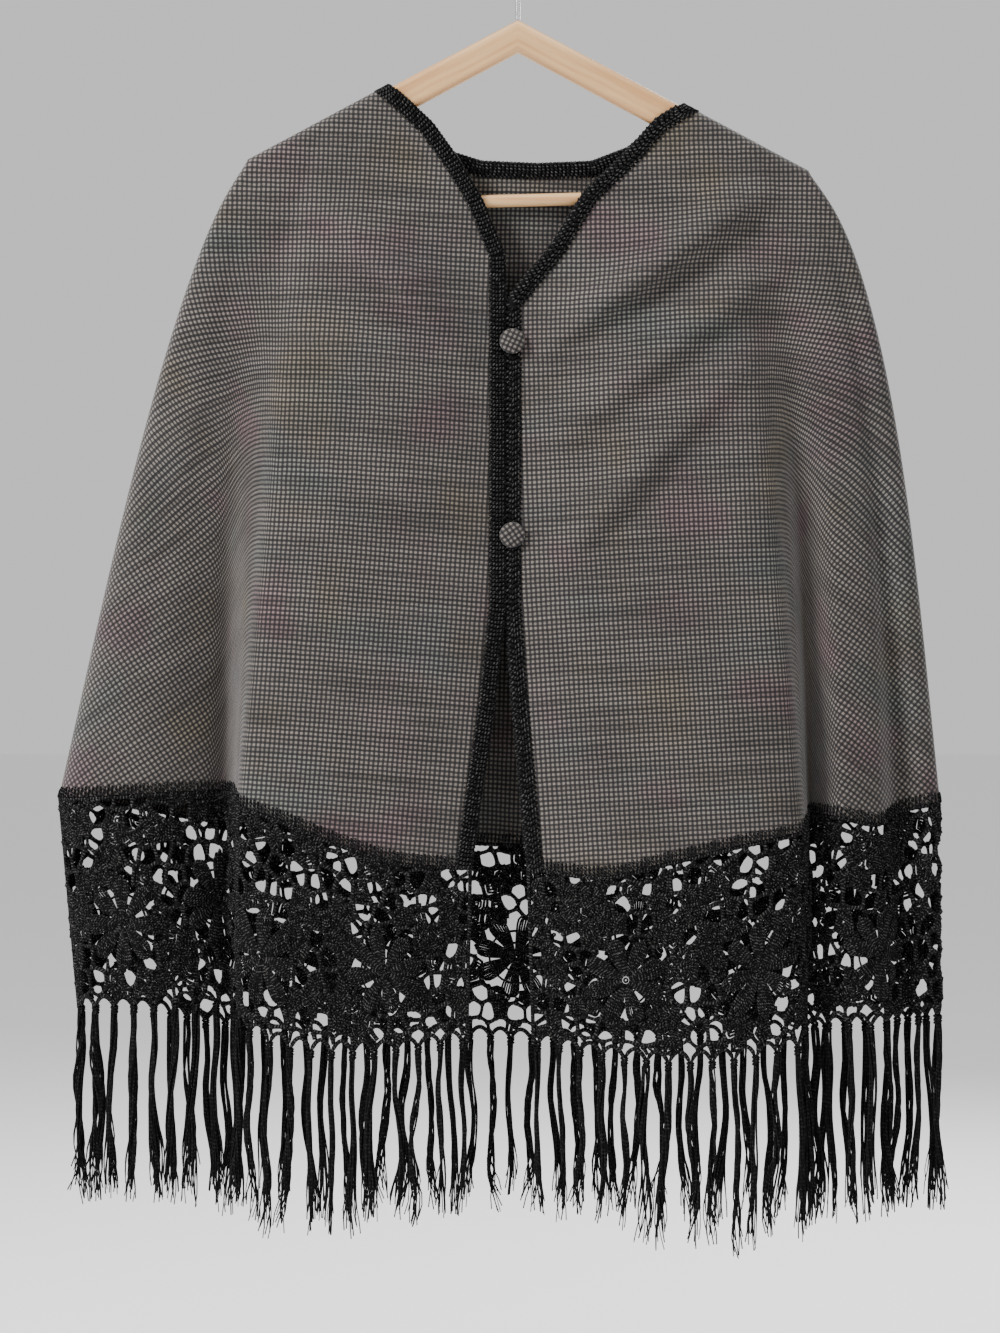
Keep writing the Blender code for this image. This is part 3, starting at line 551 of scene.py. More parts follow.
class Panel:
    """One panel of the drape, as a surface of fold positions and shares down."""

    def __init__(self, name, side, top_path, corners, folds, before, after, front_edge=None, grooves=()):
        self.name = name
        self.side = side
        self.top_path = top_path
        self.corners = corners
        self.folds = folds
        self.before = before
        self.after = after
        self.front_edge = front_edge
        self.grooves = grooves
        self.last = len(folds) - 1
        self.hem_steps, self.hem_lengths = self.measure_hem()

    def fold(self, position):
        return between(self.folds, position, self.before, self.after)

    def column_x(self, fold, down):
        top = along_path(self.top_path, fold.top)
        bow = math.sin(math.pi * down ** BULGE_POWER) * (1 - math.exp(-down / BULGE_START))
        return mix(top.x, fold.hem_x, down) + bow * math.copysign(fold.bulge, fold.hem_x)

    def cloth_point(self, position, down):
        fold = self.fold(position)
        top = along_path(self.top_path, fold.top)
        x = self.column_x(fold, down)
        z = mix(top.z, fold.hem_z, down)
        if self.front_edge:
            fade = max(0.0, 1 - position / 3) ** 2
            x += (at_height(self.front_edge, z) - self.column_x(self.folds[0], down)) * fade
        outer = self.folds[-1] if x > 0 or self.front_edge else self.folds[0]
        inset = abs(self.column_x(outer, down)) - abs(x)
        below = ridge_z(x) - z
        start_y = self.side * RIDGE_ROUND * min(quarter_round(below), quarter_round(inset))
        grown = max(0.0, (down - fold.starts) / (1 - fold.starts)) ** FOLD_GROWTH
        y = mix(start_y, fold.hem_y, grown)
        if self.front_edge:
            y += self.groove_depth(position, down) - crease_depth(FRONT_CREASES, x, z)
        calm = min(1.0, max(0.0, below - CALM_TOP) / CALM_FADE) * min(1.0, max(0.0, inset) / CALM_EDGE)
        spot = Vector((x / WRINKLE_SIZE, self.side * WRINKLE_SHIFT, z / WRINKLE_SIZE / WRINKLE_STRETCH))
        y += self.side * noise.noise(spot) * WRINKLE_HEIGHT * calm
        return Vector((x, self.clear_of_seam(y), z))

    def groove_depth(self, position, down):
        """How much deeper a side fold's valley is than the line of its table."""
        total = 0.0
        for groove in self.grooves:
            off = (position - groove.position) / groove.width
            grown = smooth((down - groove.start) / (1 - groove.start))
            total += groove.depth * math.exp(-off * off) * grown
        return total

    def clear_of_seam(self, y):
        return self.side * max(self.side * y, SEAM_GAP / 2 + RIM_LEAN)

    def point(self, position, down):
        """down runs 0 to 1 on the cloth, 1 to 2 on the lace and 2 to 3 on the fringe."""
        if down <= 1:
            return self.cloth_point(position, down)
        hem = self.cloth_point(position, 1.0)
        fold = self.fold(position)
        lace = Vector((fold.lace_x, self.clear_of_seam(hem.y * 0.97), fold.lace_z))
        if down <= 2:
            return hem.lerp(lace, down - 1)
        return lace.lerp(Vector((fold.lace_x, lace.y, fold.tip_z)), down - 2)

    def normal(self, position, down, step=0.02):
        """The direction that points off the outside of the wrap."""
        ahead = min(position + step, self.last)
        across = self.point(ahead, down) - self.point(max(position - step, 0.0), down)
        lower = down + step / 4
        if down < 1:
            lower = min(lower, 1.0)
        fall = self.point(position, lower) - self.point(position, max(down - step / 4, 0.0))
        face = across.cross(fall).normalized()
        return face if face.y * self.side > 0 or abs(face.y) < 0.02 and face.x * self.out_x() > 0 else -face

    def out_x(self):
        return 1 if self.folds[-1].hem_x > 0 else -1

    def measure_hem(self, steps=12):
        positions = [i / steps for i in range(self.last * steps + 1)]
        points = [self.point(p, 1.0) for p in positions]
        lengths = [0.0]
        for a, b in zip(points, points[1:]):
            lengths.append(lengths[-1] + (b - a).length)
        return positions, lengths

    def position_of_top(self, length):
        low, high = 0.0, float(self.last)
        for _ in range(40):
            middle = (low + high) / 2
            if self.fold(middle).top * path_length(self.top_path) < length:
                low = middle
            else:
                high = middle
        return high

    def corner_positions(self):
        return [self.position_of_top(length + way * step)
                for length, way in self.corners for step in CORNER_STEPS]

    def columns(self):
        near = self.corner_positions()
        even = [step / COLUMNS_PER_FOLD for step in range(self.last * COLUMNS_PER_FOLD + 1)]
        return sorted(near + [p for p in even if all(abs(p - q) > 0.03 for q in near)])

    def hem_position(self, along):
        """The fold position at a distance along the hem."""
        lengths = self.hem_lengths
        low, high = 0, len(lengths) - 1
        while high - low > 1:
            middle = (low + high) // 2
            if lengths[middle] <= along:
                low = middle
            else:
                high = middle
        share = (along - lengths[low]) / (lengths[high] - lengths[low])
        return mix(self.hem_steps[low], self.hem_steps[high], min(max(share, 0.0), 1.0))

    def lace_point(self, along, share, lift=0.0):
        """A place on the lace, lifted off it; it reaches past a front edge by a band's width."""
        position = self.hem_position(max(along, 0.0))
        point = self.point(position, 1 + share)
        if along < 0:
            point.x -= along * -self.out_x()
        if lift:
            point += self.normal(position, 1 + min(share, 0.98)) * lift
        return point


def make_panels():
    left_top = NECK_LEFT + [TIP_LEFT]
    right_top = NECK_RIGHT + [TIP_RIGHT]
    back_top = [TIP_LEFT] + NECK_BACK + [TIP_RIGHT]
    back_corners = [(path_length(back_top[:2]), 1), (path_length(back_top[:-1]), -1)]
    left = Panel("front_left", -1, left_top, [(path_length(NECK_LEFT), -1)], LEFT_FOLDS,
                 reflected(LEFT_FOLDS[0], LEFT_FOLDS[1]), BACK_FOLDS[1]._replace(top=1.03), FRONT_EDGE_LEFT,
                 LEFT_GROOVES)
    right = Panel("front_right", -1, right_top, [(path_length(NECK_RIGHT), -1)], RIGHT_FOLDS,
                  reflected(RIGHT_FOLDS[0], RIGHT_FOLDS[1]), BACK_FOLDS[-2]._replace(top=1.02),
                  FRONT_EDGE_RIGHT, RIGHT_GROOVES)
    back = Panel("back", 1, back_top, back_corners, BACK_FOLDS,
                 LEFT_FOLDS[-2]._replace(top=-0.03), RIGHT_FOLDS[-2]._replace(top=1.02))
    return left, right, back


panels = make_panels()
left_panel, right_panel, back_panel = panels
for panel in panels:
    print(panel.name, "hem length:", round(panel.hem_lengths[-1]), "mm")

# %% [markdown]
# ## The cloth
# Each panel is an open grid on its surface, unwrapped for its flat shape and then thickened.
# The unwrap gives the weave its direction: straight down the fronts and the middle of the
# back. The side flaps hang on the bias, because the half circle turns there, and the cloth
# for that turn is hidden in the deep folds. So the map of a flap is turned about the
# shoulder's tip, and the turn builds up inside the fold.

# %% Cloth shells
FLAP_TURN = math.radians(30)
TURN_FROM = 0.05
TURN_FULL = 0.33
FRONT_FLAP = (4.0, 7.0)
BACK_FLAPS = ((3.6, 1.6), (9.4, 11.4))


def plain_mesh(name, points, faces):
    mesh = bpy.data.meshes.new(name)
    mesh.from_pydata([point * MM for point in points], [], faces)
    mesh.update()
    return mesh


def show(name, mesh, material):
    piece = bpy.data.objects.new(name, mesh)
    bpy.context.scene.collection.objects.link(piece)
    mesh.materials.clear()
    mesh.materials.append(material)
    mesh.shade_smooth()
    return piece


def unwrap(piece, top_vertex, low_vertex):
    """Gives the mesh its flat shape in metres, with the grain line straight down."""
    mesh = piece.data
    mesh.uv_layers.new(name="cloth")
    bpy.ops.object.select_all(action="DESELECT")
    bpy.context.view_layer.objects.active = piece
    piece.select_set(True)
    bpy.ops.object.mode_set(mode="EDIT")
    bpy.ops.mesh.select_all(action="SELECT")
    bpy.ops.uv.unwrap(method="ANGLE_BASED", margin=0.0)
    bpy.ops.object.mode_set(mode="OBJECT")
    flat = [None] * len(mesh.vertices)
    for loop, uv in zip(mesh.loops, mesh.uv_layers["cloth"].data):
        flat[loop.vertex_index] = Vector(uv.uv)
    real = sum((mesh.vertices[a].co - mesh.vertices[b].co).length for a, b in mesh.edge_keys)
    drawn = sum((flat[a] - flat[b]).length for a, b in mesh.edge_keys)
    grain = flat[low_vertex] - flat[top_vertex]
    turn = -math.pi / 2 - math.atan2(grain.y, grain.x)
    cosine, sine = math.cos(turn) * real / drawn, math.sin(turn) * real / drawn
    return [Vector((p.x * cosine - p.y * sine, p.x * sine + p.y * cosine)) for p in flat]


def turn_flap(flat, panel, columns, rows, start, end, tip_column):
    """Turns the map beyond a fold about the shoulder's tip, a little more in each column."""
    pivot = flat[tip_column].copy()
    middle = flat[(rows - 1) * len(columns) + len(columns) // 2]
    sign = math.copysign(1, (flat[(rows - 1) * len(columns) + tip_column] - middle).x)
    for column, position in enumerate(columns):
        across = smooth((position - start) / (end - start))
        if across <= 0:
            continue
        for row in range(rows):
            off = flat[row * len(columns) + column] - pivot
            turn = sign * FLAP_TURN * across * smooth((off.length - TURN_FROM) / (TURN_FULL - TURN_FROM))
            cosine, sine = math.cos(turn), math.sin(turn)
            flat[row * len(columns) + column] = pivot + Vector(
                (off.x * cosine - off.y * sine, off.x * sine + off.y * cosine))


def write_map(mesh, flat):
    layer = mesh.uv_layers["cloth"].data
    for loop in mesh.loops:
        layer[loop.index].uv = flat[loop.vertex_index]


def make_cloth(panel):
    columns = panel.columns()
    rows = FIRST_ROWS + tuple(mix(FIRST_ROWS[-1], 1.0, (i + 1) / EVEN_ROWS) for i in range(EVEN_ROWS))
    points = [panel.point(position, down) for down in rows for position in columns]
    faces = []
    flip = (panel.side < 0) == (panel.out_x() < 0)
    for r in range(len(rows) - 1):
        for c in range(len(columns) - 1):
            corner = r * len(columns) + c
            face = (corner, corner + len(columns), corner + len(columns) + 1, corner + 1)
            faces.append(face[::-1] if flip else face)
    piece = show(panel.name + "_cloth", plain_mesh(panel.name + "_cloth", points, faces), wool)
    grain = 0 if panel.front_edge else len(columns) // 2
    flat = unwrap(piece, 20 * len(columns) + grain, (len(rows) - 1) * len(columns) + grain)
    if panel.front_edge:
        turn_flap(flat, panel, columns, len(rows), *FRONT_FLAP, len(columns) - 1)
    else:
        turn_flap(flat, panel, columns, len(rows), *BACK_FLAPS[0], 0)
        turn_flap(flat, panel, columns, len(rows), *BACK_FLAPS[1], len(columns) - 1)
    write_map(piece.data, flat)
    wall = piece.modifiers.new("Wall", "SOLIDIFY")
    wall.thickness = CLOTH_WALL * MM
    wall.offset = 0.0
    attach(piece, "root")
    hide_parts(panel.name)
    return piece


cloths = {panel.name: make_cloth(panel) for panel in panels}
for cloth in cloths.values():
    print(cloth.name, len(cloth.data.polygons), "faces before its wall")

# %% [markdown]
# ## Yarn that follows a path
# Every crocheted and knotted piece is drawn first as chains of points, each point with its
# own thickness. One Geometry Nodes tree turns all chains of a piece into round yarn. It also
# stores how far along the yarn each point lies and which way round, for the twist.

# %% Yarn tree
def yarn_tree():
    tree = bpy.data.node_groups.new("yarn_from_chains", "GeometryNodeTree")
    for label, kind in (("Chains", "NodeSocketGeometry"), ("Sides", "NodeSocketInt"),
                        ("Material", "NodeSocketMaterial")):
        tree.interface.new_socket(label, in_out="INPUT", socket_type=kind)
    tree.interface.new_socket("Yarn", in_out="OUTPUT", socket_type="NodeSocketGeometry")
    graph = Graph(tree)
    chains, sides, material = [graph.node("NodeGroupInput", output=label)
                               for label in ("Chains", "Sides", "Material")]
    curve = graph.node("GeometryNodeMeshToCurve", {}, {"Mesh": chains})
    length = graph.node("GeometryNodeSplineParameter", output="Length")
    curve = graph.node("GeometryNodeStoreNamedAttribute", {},
                       {"Geometry": curve, "Name": "along", "Value": length})
    ring = graph.node("GeometryNodeCurvePrimitiveCircle", {}, {"Resolution": sides, "Radius": 1.0})
    round_place = graph.node("GeometryNodeInputPosition")
    ring = graph.node("GeometryNodeStoreNamedAttribute", {"data_type": "FLOAT_VECTOR"},
                      {"Geometry": ring, "Name": "around", "Value": round_place})
    thick = graph.node("GeometryNodeInputNamedAttribute", {}, {"Name": "thick"})
    yarn = graph.node("GeometryNodeCurveToMesh", {},
                      {"Curve": curve, "Profile Curve": ring, "Scale": thick, "Fill Caps": True})
    yarn = graph.node("GeometryNodeRealizeInstances", {}, {"Geometry": yarn})
    yarn = graph.node("GeometryNodeSetMaterial", {}, {"Geometry": yarn, "Material": material})
    end = tree.nodes.new("NodeGroupOutput")
    tree.links.new(yarn.socket, end.inputs["Yarn"])
    return tree


yarn_nodes = yarn_tree()
yarn_inputs = {item.name: item.identifier for item in yarn_nodes.interface.items_tree
               if item.in_out == "INPUT"}
Chain = namedtuple("Chain", "points radii closed")
YARN_SIDES = 5
FINE_SIDES = 4


def even_chain(points, radius, closed=False):
    return Chain(points, [radius] * len(points), closed)


def grow_yarn(name, chains, material, sides):
    """Round yarn along every chain, as one plain mesh."""
    points, radii, edges = [], [], []
    for chain in chains:
        first = len(points)
        points += chain.points
        radii += chain.radii
        edges += [(i, i + 1) for i in range(first, len(points) - 1)]
        if chain.closed:
            edges.append((len(points) - 1, first))
    mesh = bpy.data.meshes.new(name + "_chains")
    mesh.from_pydata([point * MM for point in points], edges, [])
    thick = mesh.attributes.new("thick", "FLOAT", "POINT")
    thick.data.foreach_set("value", [radius * MM for radius in radii])
    holder = bpy.data.objects.new(name + "_chains", mesh)
    bpy.context.scene.collection.objects.link(holder)
    modifier = holder.modifiers.new("Yarn", "NODES")
    modifier.node_group = yarn_nodes
    modifier[yarn_inputs["Sides"]] = sides
    modifier[yarn_inputs["Material"]] = material
    bpy.context.view_layer.update()
    made = bpy.data.meshes.new_from_object(holder.evaluated_get(bpy.context.evaluated_depsgraph_get()))
    bpy.data.objects.remove(holder)
    made.name = name
    return show(name, made, material)


def joined(name, pieces):
    bpy.ops.object.select_all(action="DESELECT")
    for piece in pieces:
        piece.select_set(True)
    bpy.context.view_layer.objects.active = pieces[0]
    bpy.ops.object.join()
    pieces[0].name = name
    return pieces[0]


def stands_for(piece, node):
    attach(piece, "root")
    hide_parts(node)
    print(piece.name, "stands for", node, "-", len(piece.data.polygons), "faces")


print("inputs of the yarn tree:", list(yarn_inputs))

# %% [markdown]
# ## The crocheted bands
# A dark band carries the cloth on past its cut edge, round the neck and down both fronts. It
# is a thin strip under rings of yarn: nearly straight bars on the left front and the neck's
# back, and slanted ones like a plait on the right front. A cord finishes its outer edge.

# %% Path of a band
BAND_STEP = 3.2
BAND_HALF = 1.2
EDGE_CORD = 1.25
EDGE_LUMP = 0.3


def front_spots(panel):
    corner = panel.corner_positions()[1]
    neck = [(corner * (1 - i / 90), 0.0) for i in range(91)]
    return neck + [(0.0, i / 180) for i in range(1, 181)]


def back_spots(panel):
    first, last = panel.corner_positions()[1], panel.corner_positions()[1 + len(CORNER_STEPS)]
    return [(mix(first, last, i / 150), 0.0) for i in range(151)]


Station = namedtuple("Station", "point off out ahead")


def band_stations(panel, spots, step):
    """Evenly spaced places on a cut edge, with the ways off the cloth, out of it and on."""
    points = [panel.point(*spot) for spot in spots]
    lengths = [0.0]
    for a, b in zip(points, points[1:]):
        lengths.append(lengths[-1] + (b - a).length)
    stations = []
    index = 0
    for count in range(int(lengths[-1] / step) + 1):
        target = count * lengths[-1] / int(lengths[-1] / step)
        while index < len(points) - 2 and lengths[index + 1] < target:
            index += 1
        share = (target - lengths[index]) / (lengths[index + 1] - lengths[index])
        point = points[index].lerp(points[index + 1], min(share, 1.0))
        ahead = (points[min(index + 2, len(points) - 1)] - points[max(index - 1, 0)]).normalized()
        out = panel.normal(*spots[index])
        off = ahead.cross(out).normalized()
        inward = panel.point(spots[index][0] + 0.1, min(spots[index][1] + 0.02, 1.0)) - points[index]
        if spots[index][1] == 0.0:
            inward = panel.point(spots[index][0], 0.02) - points[index]
        if off.dot(inward) > 0:
            off = -off
        if ridge_z(point.x) - point.z < RIDGE_ROUND * 1.5:
            off = Vector((-math.copysign(1, point.x), 0, RIDGE_SLOPE)).normalized()
            out = Vector((0, panel.side, 0))
        stations.append(Station(point, off, out, ahead))
    return stations


# %% Bands
RING = ((-1.2, 1.3), (1.5, 1.9), (5.0, 1.7), (8.4, 1.7), (10.3, 1.2), (10.9, 0.0), (10.3, -1.2),
        (8.4, -1.7), (5.0, -1.7), (1.5, -1.9), (-1.2, -1.3))


def band_shell(name, panel, stations):
    rows = [[s.point + s.off * reach for s in stations] for reach in (0.2, BAND_WIDTH)]
    count = len(stations)
    faces = [(i, i + 1, count + i + 1, count + i) for i in range(count - 1)]
    shell = show(name, plain_mesh(name, rows[0] + rows[1], faces), crochet_yarn)
    wall = shell.modifiers.new("Wall", "SOLIDIFY")
    wall.thickness = 2 * BAND_HALF * MM
    wall.offset = 0.0
    bpy.context.view_layer.update()
    mesh = bpy.data.meshes.new_from_object(shell.evaluated_get(bpy.context.evaluated_depsgraph_get()))
    shell.modifiers.clear()
    shell.data = mesh
    return shell


def make_band(name, panel, spots, step, slant, thickness):
    stations = band_stations(panel, spots, step)
    chains = []
    for station in stations:
        ring = []
        for reach, rise in RING:
            lean = slant * (1 - abs(reach - BAND_WIDTH / 2) / (BAND_WIDTH / 2))
            ring.append(station.point + station.off * reach + station.out * rise + station.ahead * lean)
        chains.append(even_chain(ring, thickness, True))
    edge = [s.point + s.off * (BAND_WIDTH + 0.2) for s in band_stations(panel, spots, step / 3)]
    chains.append(Chain(edge, [EDGE_CORD + EDGE_LUMP * (i % 3 == 0) for i in range(len(edge))], False))
    rings = grow_yarn(name + "_rings", chains, crochet_yarn, YARN_SIDES)
    return joined(name + "_band", [rings, band_shell(name + "_strip", panel, stations)])


Bars = namedtuple("Bars", "step slant thickness")
STRAIGHT_BARS = Bars(BAND_STEP, 0.6, 1.2)
SLANTED_BARS = Bars(4.2, 2.8, 1.5)
bands = {
    "edging_left": make_band("edging_left", left_panel, front_spots(left_panel), *STRAIGHT_BARS),
    "edging_right": make_band("edging_right", right_panel, front_spots(right_panel), *SLANTED_BARS),
    "edging_back": make_band("edging_back", back_panel, back_spots(back_panel), *STRAIGHT_BARS),
}
for node, band in bands.items():
    stands_for(band, node)

# %% [markdown]
# ## The net of the hem
# A free-form net has a knot wherever three meshes meet, like the cells of a Voronoi drawing.
# So the net comes from scattered seeds: each triangle between three seeds gives one knot, and
# two triangles with a common side give one cord. The smaller openings are worked full. Cords
# stop at the flowers, and at the foot they end on arches that reach from tassel to tassel.

# %% Cords of the net
CELL_PITCH = 13.0
CELL_SCATTER = 0.32
CORD_RADIUS = 1.6
KNOT_RADIUS = 2.7
CORD_POINTS = 5
ARCH_RISE = 9.0
ARCH_RADIUS = 1.7
BORDER_STEP = 2.2
BORDER_RADIUS = 1.6
BORDER_LUMP = 0.4
OPEN_SHARE = 0.40
FILLED_SHARE = 0.90
FILL_TURNS = 3
FILL_RADIUS = 1.35
FILL_REACH = (0.80, 0.10)
FILL_LIFT = (-0.5, 0.9)
CORD_SLACK = 0.7
CORD_LIFT = 0.4
FRINGE_PITCH = 17.0
FRINGE_MARGIN = 4.0
LOCK_WIDTH = 6.0
HEM_GAP = 0.8


def net_seeds(seed, length, depth):
    scatter = random.Random(seed)
    seeds = []
    for row in range(-1, round(depth / CELL_PITCH) + 2):
        for column in range(-2, round(length / CELL_PITCH) + 3):
            across = column + (row % 2) / 2 + scatter.uniform(-CELL_SCATTER, CELL_SCATTER)
            down = row + scatter.uniform(-CELL_SCATTER, CELL_SCATTER)
            seeds.append(Vector((across, down)) * CELL_PITCH)
    return seeds


def centre_of(a, b, c):
    """The place at one distance from three seeds."""
    twice = 2 * (a.x * (b.y - c.y) + b.x * (c.y - a.y) + c.x * (a.y - b.y))
    sizes = [p.length_squared for p in (a, b, c)]
    x = (sizes[0] * (b.y - c.y) + sizes[1] * (c.y - a.y) + sizes[2] * (a.y - b.y)) / twice
    y = (sizes[0] * (c.x - b.x) + sizes[1] * (a.x - c.x) + sizes[2] * (b.x - a.x)) / twice
    return Vector((x, y))


def ring_area(ring):
    return sum(a.x * b.y - b.x * a.y for a, b in zip(ring, ring[1:] + ring[:1])) / 2


def net_plan(seeds):
    """The cords of the net, from knot to knot, and the knots round each opening."""
    corners, _, triangles, _, _, _ = delaunay_2d_cdt(seeds, [], [], 0, 1e-6)
    knots = [centre_of(*(corners[i] for i in triangle)) for triangle in triangles]
    sides, around = {}, {}
    for index, triangle in enumerate(triangles):
        for a, b in zip(triangle, triangle[1:] + triangle[:1]):
            sides.setdefault((min(a, b), max(a, b)), []).append(index)
            around.setdefault(a, []).append(knots[index])
    cords = [(knots[pair[0]], knots[pair[1]]) for pair in sides.values() if len(pair) == 2]
    openings = []
    for corner, ring in around.items():
        middle = corners[corner]
        ring.sort(key=lambda knot: math.atan2(knot.y - middle.y, knot.x - middle.x))
        openings.append((middle, ring))
    openings.sort(key=lambda opening: -ring_area(opening[1]))
    return cords, openings


class Lace:
    """The flat plan of one panel's crocheted hem."""

    def __init__(self, panel, flowers, seed):
        self.panel = panel
        self.flowers = flowers
        self.seed = seed
        self.first = -BAND_WIDTH if panel.front_edge else 0.0
        self.length = panel.hem_lengths[-1]
        self.depth = panel.folds[0].hem_z - panel.folds[0].lace_z
        start = -BAND_WIDTH if panel.front_edge else FRINGE_MARGIN
        end = self.length - FRINGE_MARGIN
        locks = round((end - start) / FRINGE_PITCH)
        pitch = (end - start - LOCK_WIDTH) / (locks - 1)
        self.locks = [start + i * pitch + LOCK_WIDTH / 2 for i in range(locks)]

    def place(self, spot, lift=0.0):
        share = mix(HEM_GAP / self.depth, 1.0, spot.y / self.depth)
        return self.panel.lace_point(spot.x, share, lift)

    def foot(self, along):
        """How far down the arches of the foot reach here."""
        pitch = self.locks[1] - self.locks[0]
        share = ((along - self.locks[0]) / pitch) % 1.0
        return self.depth - ARCH_RISE * math.sin(math.pi * share) ** 0.7

    def kept_on(self, spot):
        along = min(max(spot.x, self.first), self.length)
        return Vector((along, min(max(spot.y, 0.0), self.foot(along))))

    def off_flowers(self, spot):
        """How far a place is from the nearest flower's rim."""
        return min((spot - Vector((f.along, f.down))).length - f.radius for f in self.flowers)

    def holds(self, spot):
        inside = self.first <= spot.x <= self.length and 0 <= spot.y <= self.foot(spot.x)
        return inside and self.off_flowers(spot) > -3.0


def fill_chains(lace, openings, wave):
    """The smaller openings are worked full, with yarn that winds inward in them."""
    chains = []
    inside = [opening for opening in openings if lace.holds(opening[0]) and len(opening[1]) > 3]
    for middle, ring in inside[round(len(inside) * OPEN_SHARE):]:
        if wave.random() > FILLED_SHARE:
            continue
        steps = FILL_TURNS * len(ring)
        points = []
        for step in range(steps):
            reach = mix(*FILL_REACH, step / (steps - 1)) * wave.uniform(0.92, 1.08)
            spot = middle + (ring[step % len(ring)] - middle) * reach
            points.append(lace.place(lace.kept_on(spot), wave.uniform(*FILL_LIFT)))
        chains.append(even_chain(points, FILL_RADIUS * wave.uniform(0.85, 1.15)))
    return chains


def net_chains(lace):
    wave = random.Random(lace.seed + 100)
    cords, openings = net_plan(net_seeds(lace.seed, lace.length, lace.depth))
    chains = fill_chains(lace, openings, wave)
    for a, b in cords:
        if (b - a).length > 3 * CELL_PITCH:
            continue
        across = Vector((a.y - b.y, b.x - a.x)).normalized() * wave.uniform(-CORD_SLACK, CORD_SLACK)
        radius = CORD_RADIUS * wave.uniform(0.82, 1.15)
        lift = wave.uniform(-CORD_LIFT, CORD_LIFT)
        points, radii = [], []
        for i in range(CORD_POINTS):
            share = i / (CORD_POINTS - 1)
            spot = a.lerp(b, share) + across * math.sin(math.pi * share)
            if lace.holds(spot):
                points.append(lace.place(spot, lift * math.sin(math.pi * share)))
                radii.append(mix(radius, KNOT_RADIUS, abs(2 * share - 1) ** 4))
        if len(points) > 1:
            chains.append(Chain(points, radii, False))
    return chains


def border_chains(lace):
    """The cords along the hem, down the open side and round the arches of the foot."""
    count = int((lace.length - lace.first) / BORDER_STEP)
    alongs = [mix(lace.first, lace.length, i / count) for i in range(count + 1)]
    lumps = [BORDER_RADIUS + BORDER_LUMP * (i % 2) for i in range(count + 1)]
    top = [lace.place(Vector((along, 0.6))) for along in alongs]
    arches = [lace.place(Vector((along, lace.foot(along)))) for along in alongs]
    sides = [Vector((lace.first, lace.depth * i / 60)) for i in range(61)]
    chains = [Chain(top, lumps, False), even_chain(arches, ARCH_RADIUS)]
    return chains + [even_chain([lace.place(spot) for spot in sides], BORDER_RADIUS)]


LACE_SEEDS = (3, 5, 8)
flower_tables = (LEFT_FLOWERS, RIGHT_FLOWERS, BACK_FLOWERS)
laces = [Lace(*plan) for plan in zip(panels, flower_tables, LACE_SEEDS)]
for lace in laces:
    print(lace.panel.name, "net cords:", len(net_chains(lace)), "locks:", len(lace.locks))

# %% [markdown]
# ## Flowers of the hem
# Each flower is eight petals, and each petal is a nest of long yarn loops that start and end
# at the heart. The inner loops ride higher than the outer ones, which makes the petals thick.
# Two thin rings behind the petals tie them together.

# %% Flowers
PETALS = 8
LOOPS = 4
LOOP_POINTS = 13
LOOP_RADIUS = 0.95
FLOWER_RISE = 3.0
PETAL_WIDTH = 0.86
HEART_RINGS = ((1.5, 2.4), (3.6, 2.0))
HEART_POINTS = 9
HEART_RADIUS = 1.1
TIE_RINGS = (0.34, 0.62)
TIE_POINTS = 24
TIE_RADIUS = 1.0
TIE_DEPTH = -0.6
PETAL_TURN = 0.10
PUFF = (0.8, 1.2)
LOOP_REACH = (1.06, 0.94)


def flower_chains(lace, flower, number):
    wave = random.Random(lace.seed * 50 + number)
    turn = wave.uniform(0, math.pi)
    chains = []

    def place(reach, angle, rise):
        spot = Vector((flower.along + reach * math.cos(angle), flower.down + reach * math.sin(angle)))
        return lace.place(spot, rise)

    for petal in range(PETALS):
        middle = turn + 2 * math.pi * (petal + wave.uniform(-PETAL_TURN, PETAL_TURN)) / PETALS
        puff = wave.uniform(*PUFF)
        for loop in range(LOOPS):
            size = (loop + 1) / LOOPS
            reach = flower.radius * mix(*LOOP_REACH, size) * wave.uniform(0.96, 1.04)
            half = math.pi / PETALS * PETAL_WIDTH * (size - 0.5 / LOOPS)
            points = []
            for i in range(LOOP_POINTS):
                share = i / (LOOP_POINTS - 1)
                out = math.sin(math.pi * share) ** 0.75
                radial = mix(flower.radius * 0.10, reach, out)
                dome = math.sin(math.pi * min(1.0, 0.8 * radial / flower.radius))
                rise = 1.0 + FLOWER_RISE * puff * dome
                turned = math.copysign(abs(math.cos(math.pi * share)) ** 0.4, 0.5 - share)
                points.append(place(radial, middle + half * turned, rise - 0.9 * size))
            chains.append(even_chain(points, LOOP_RADIUS * wave.uniform(0.85, 1.15)))
    for reach, rise in HEART_RINGS:
        ring = [place(reach, 2 * math.pi * i / HEART_POINTS, rise) for i in range(HEART_POINTS)]
        chains.append(even_chain(ring, HEART_RADIUS, True))
    for share in TIE_RINGS:
        reach = flower.radius * share
        ring = [place(reach, 2 * math.pi * i / TIE_POINTS, TIE_DEPTH) for i in range(TIE_POINTS)]
        chains.append(even_chain(ring, TIE_RADIUS, True))
    return chains


print("yarn loops in one flower:", len(flower_chains(laces[0], laces[0].flowers[0], 0)))

# %% [markdown]
# ## The net is sewn on
# Whip stitches go over the hem of the cloth and hold the net to it. Then the cords, the
# flowers and the stitches of a panel grow into one piece of yarn.

# %% Whip stitches and the finished hems
WHIP_STEP = 3.1
WHIP_HEIGHT = 7.5
WHIP_RADIUS = 0.85
WHIP_LEAN = 1.2
WHIP_TOP = 0.975


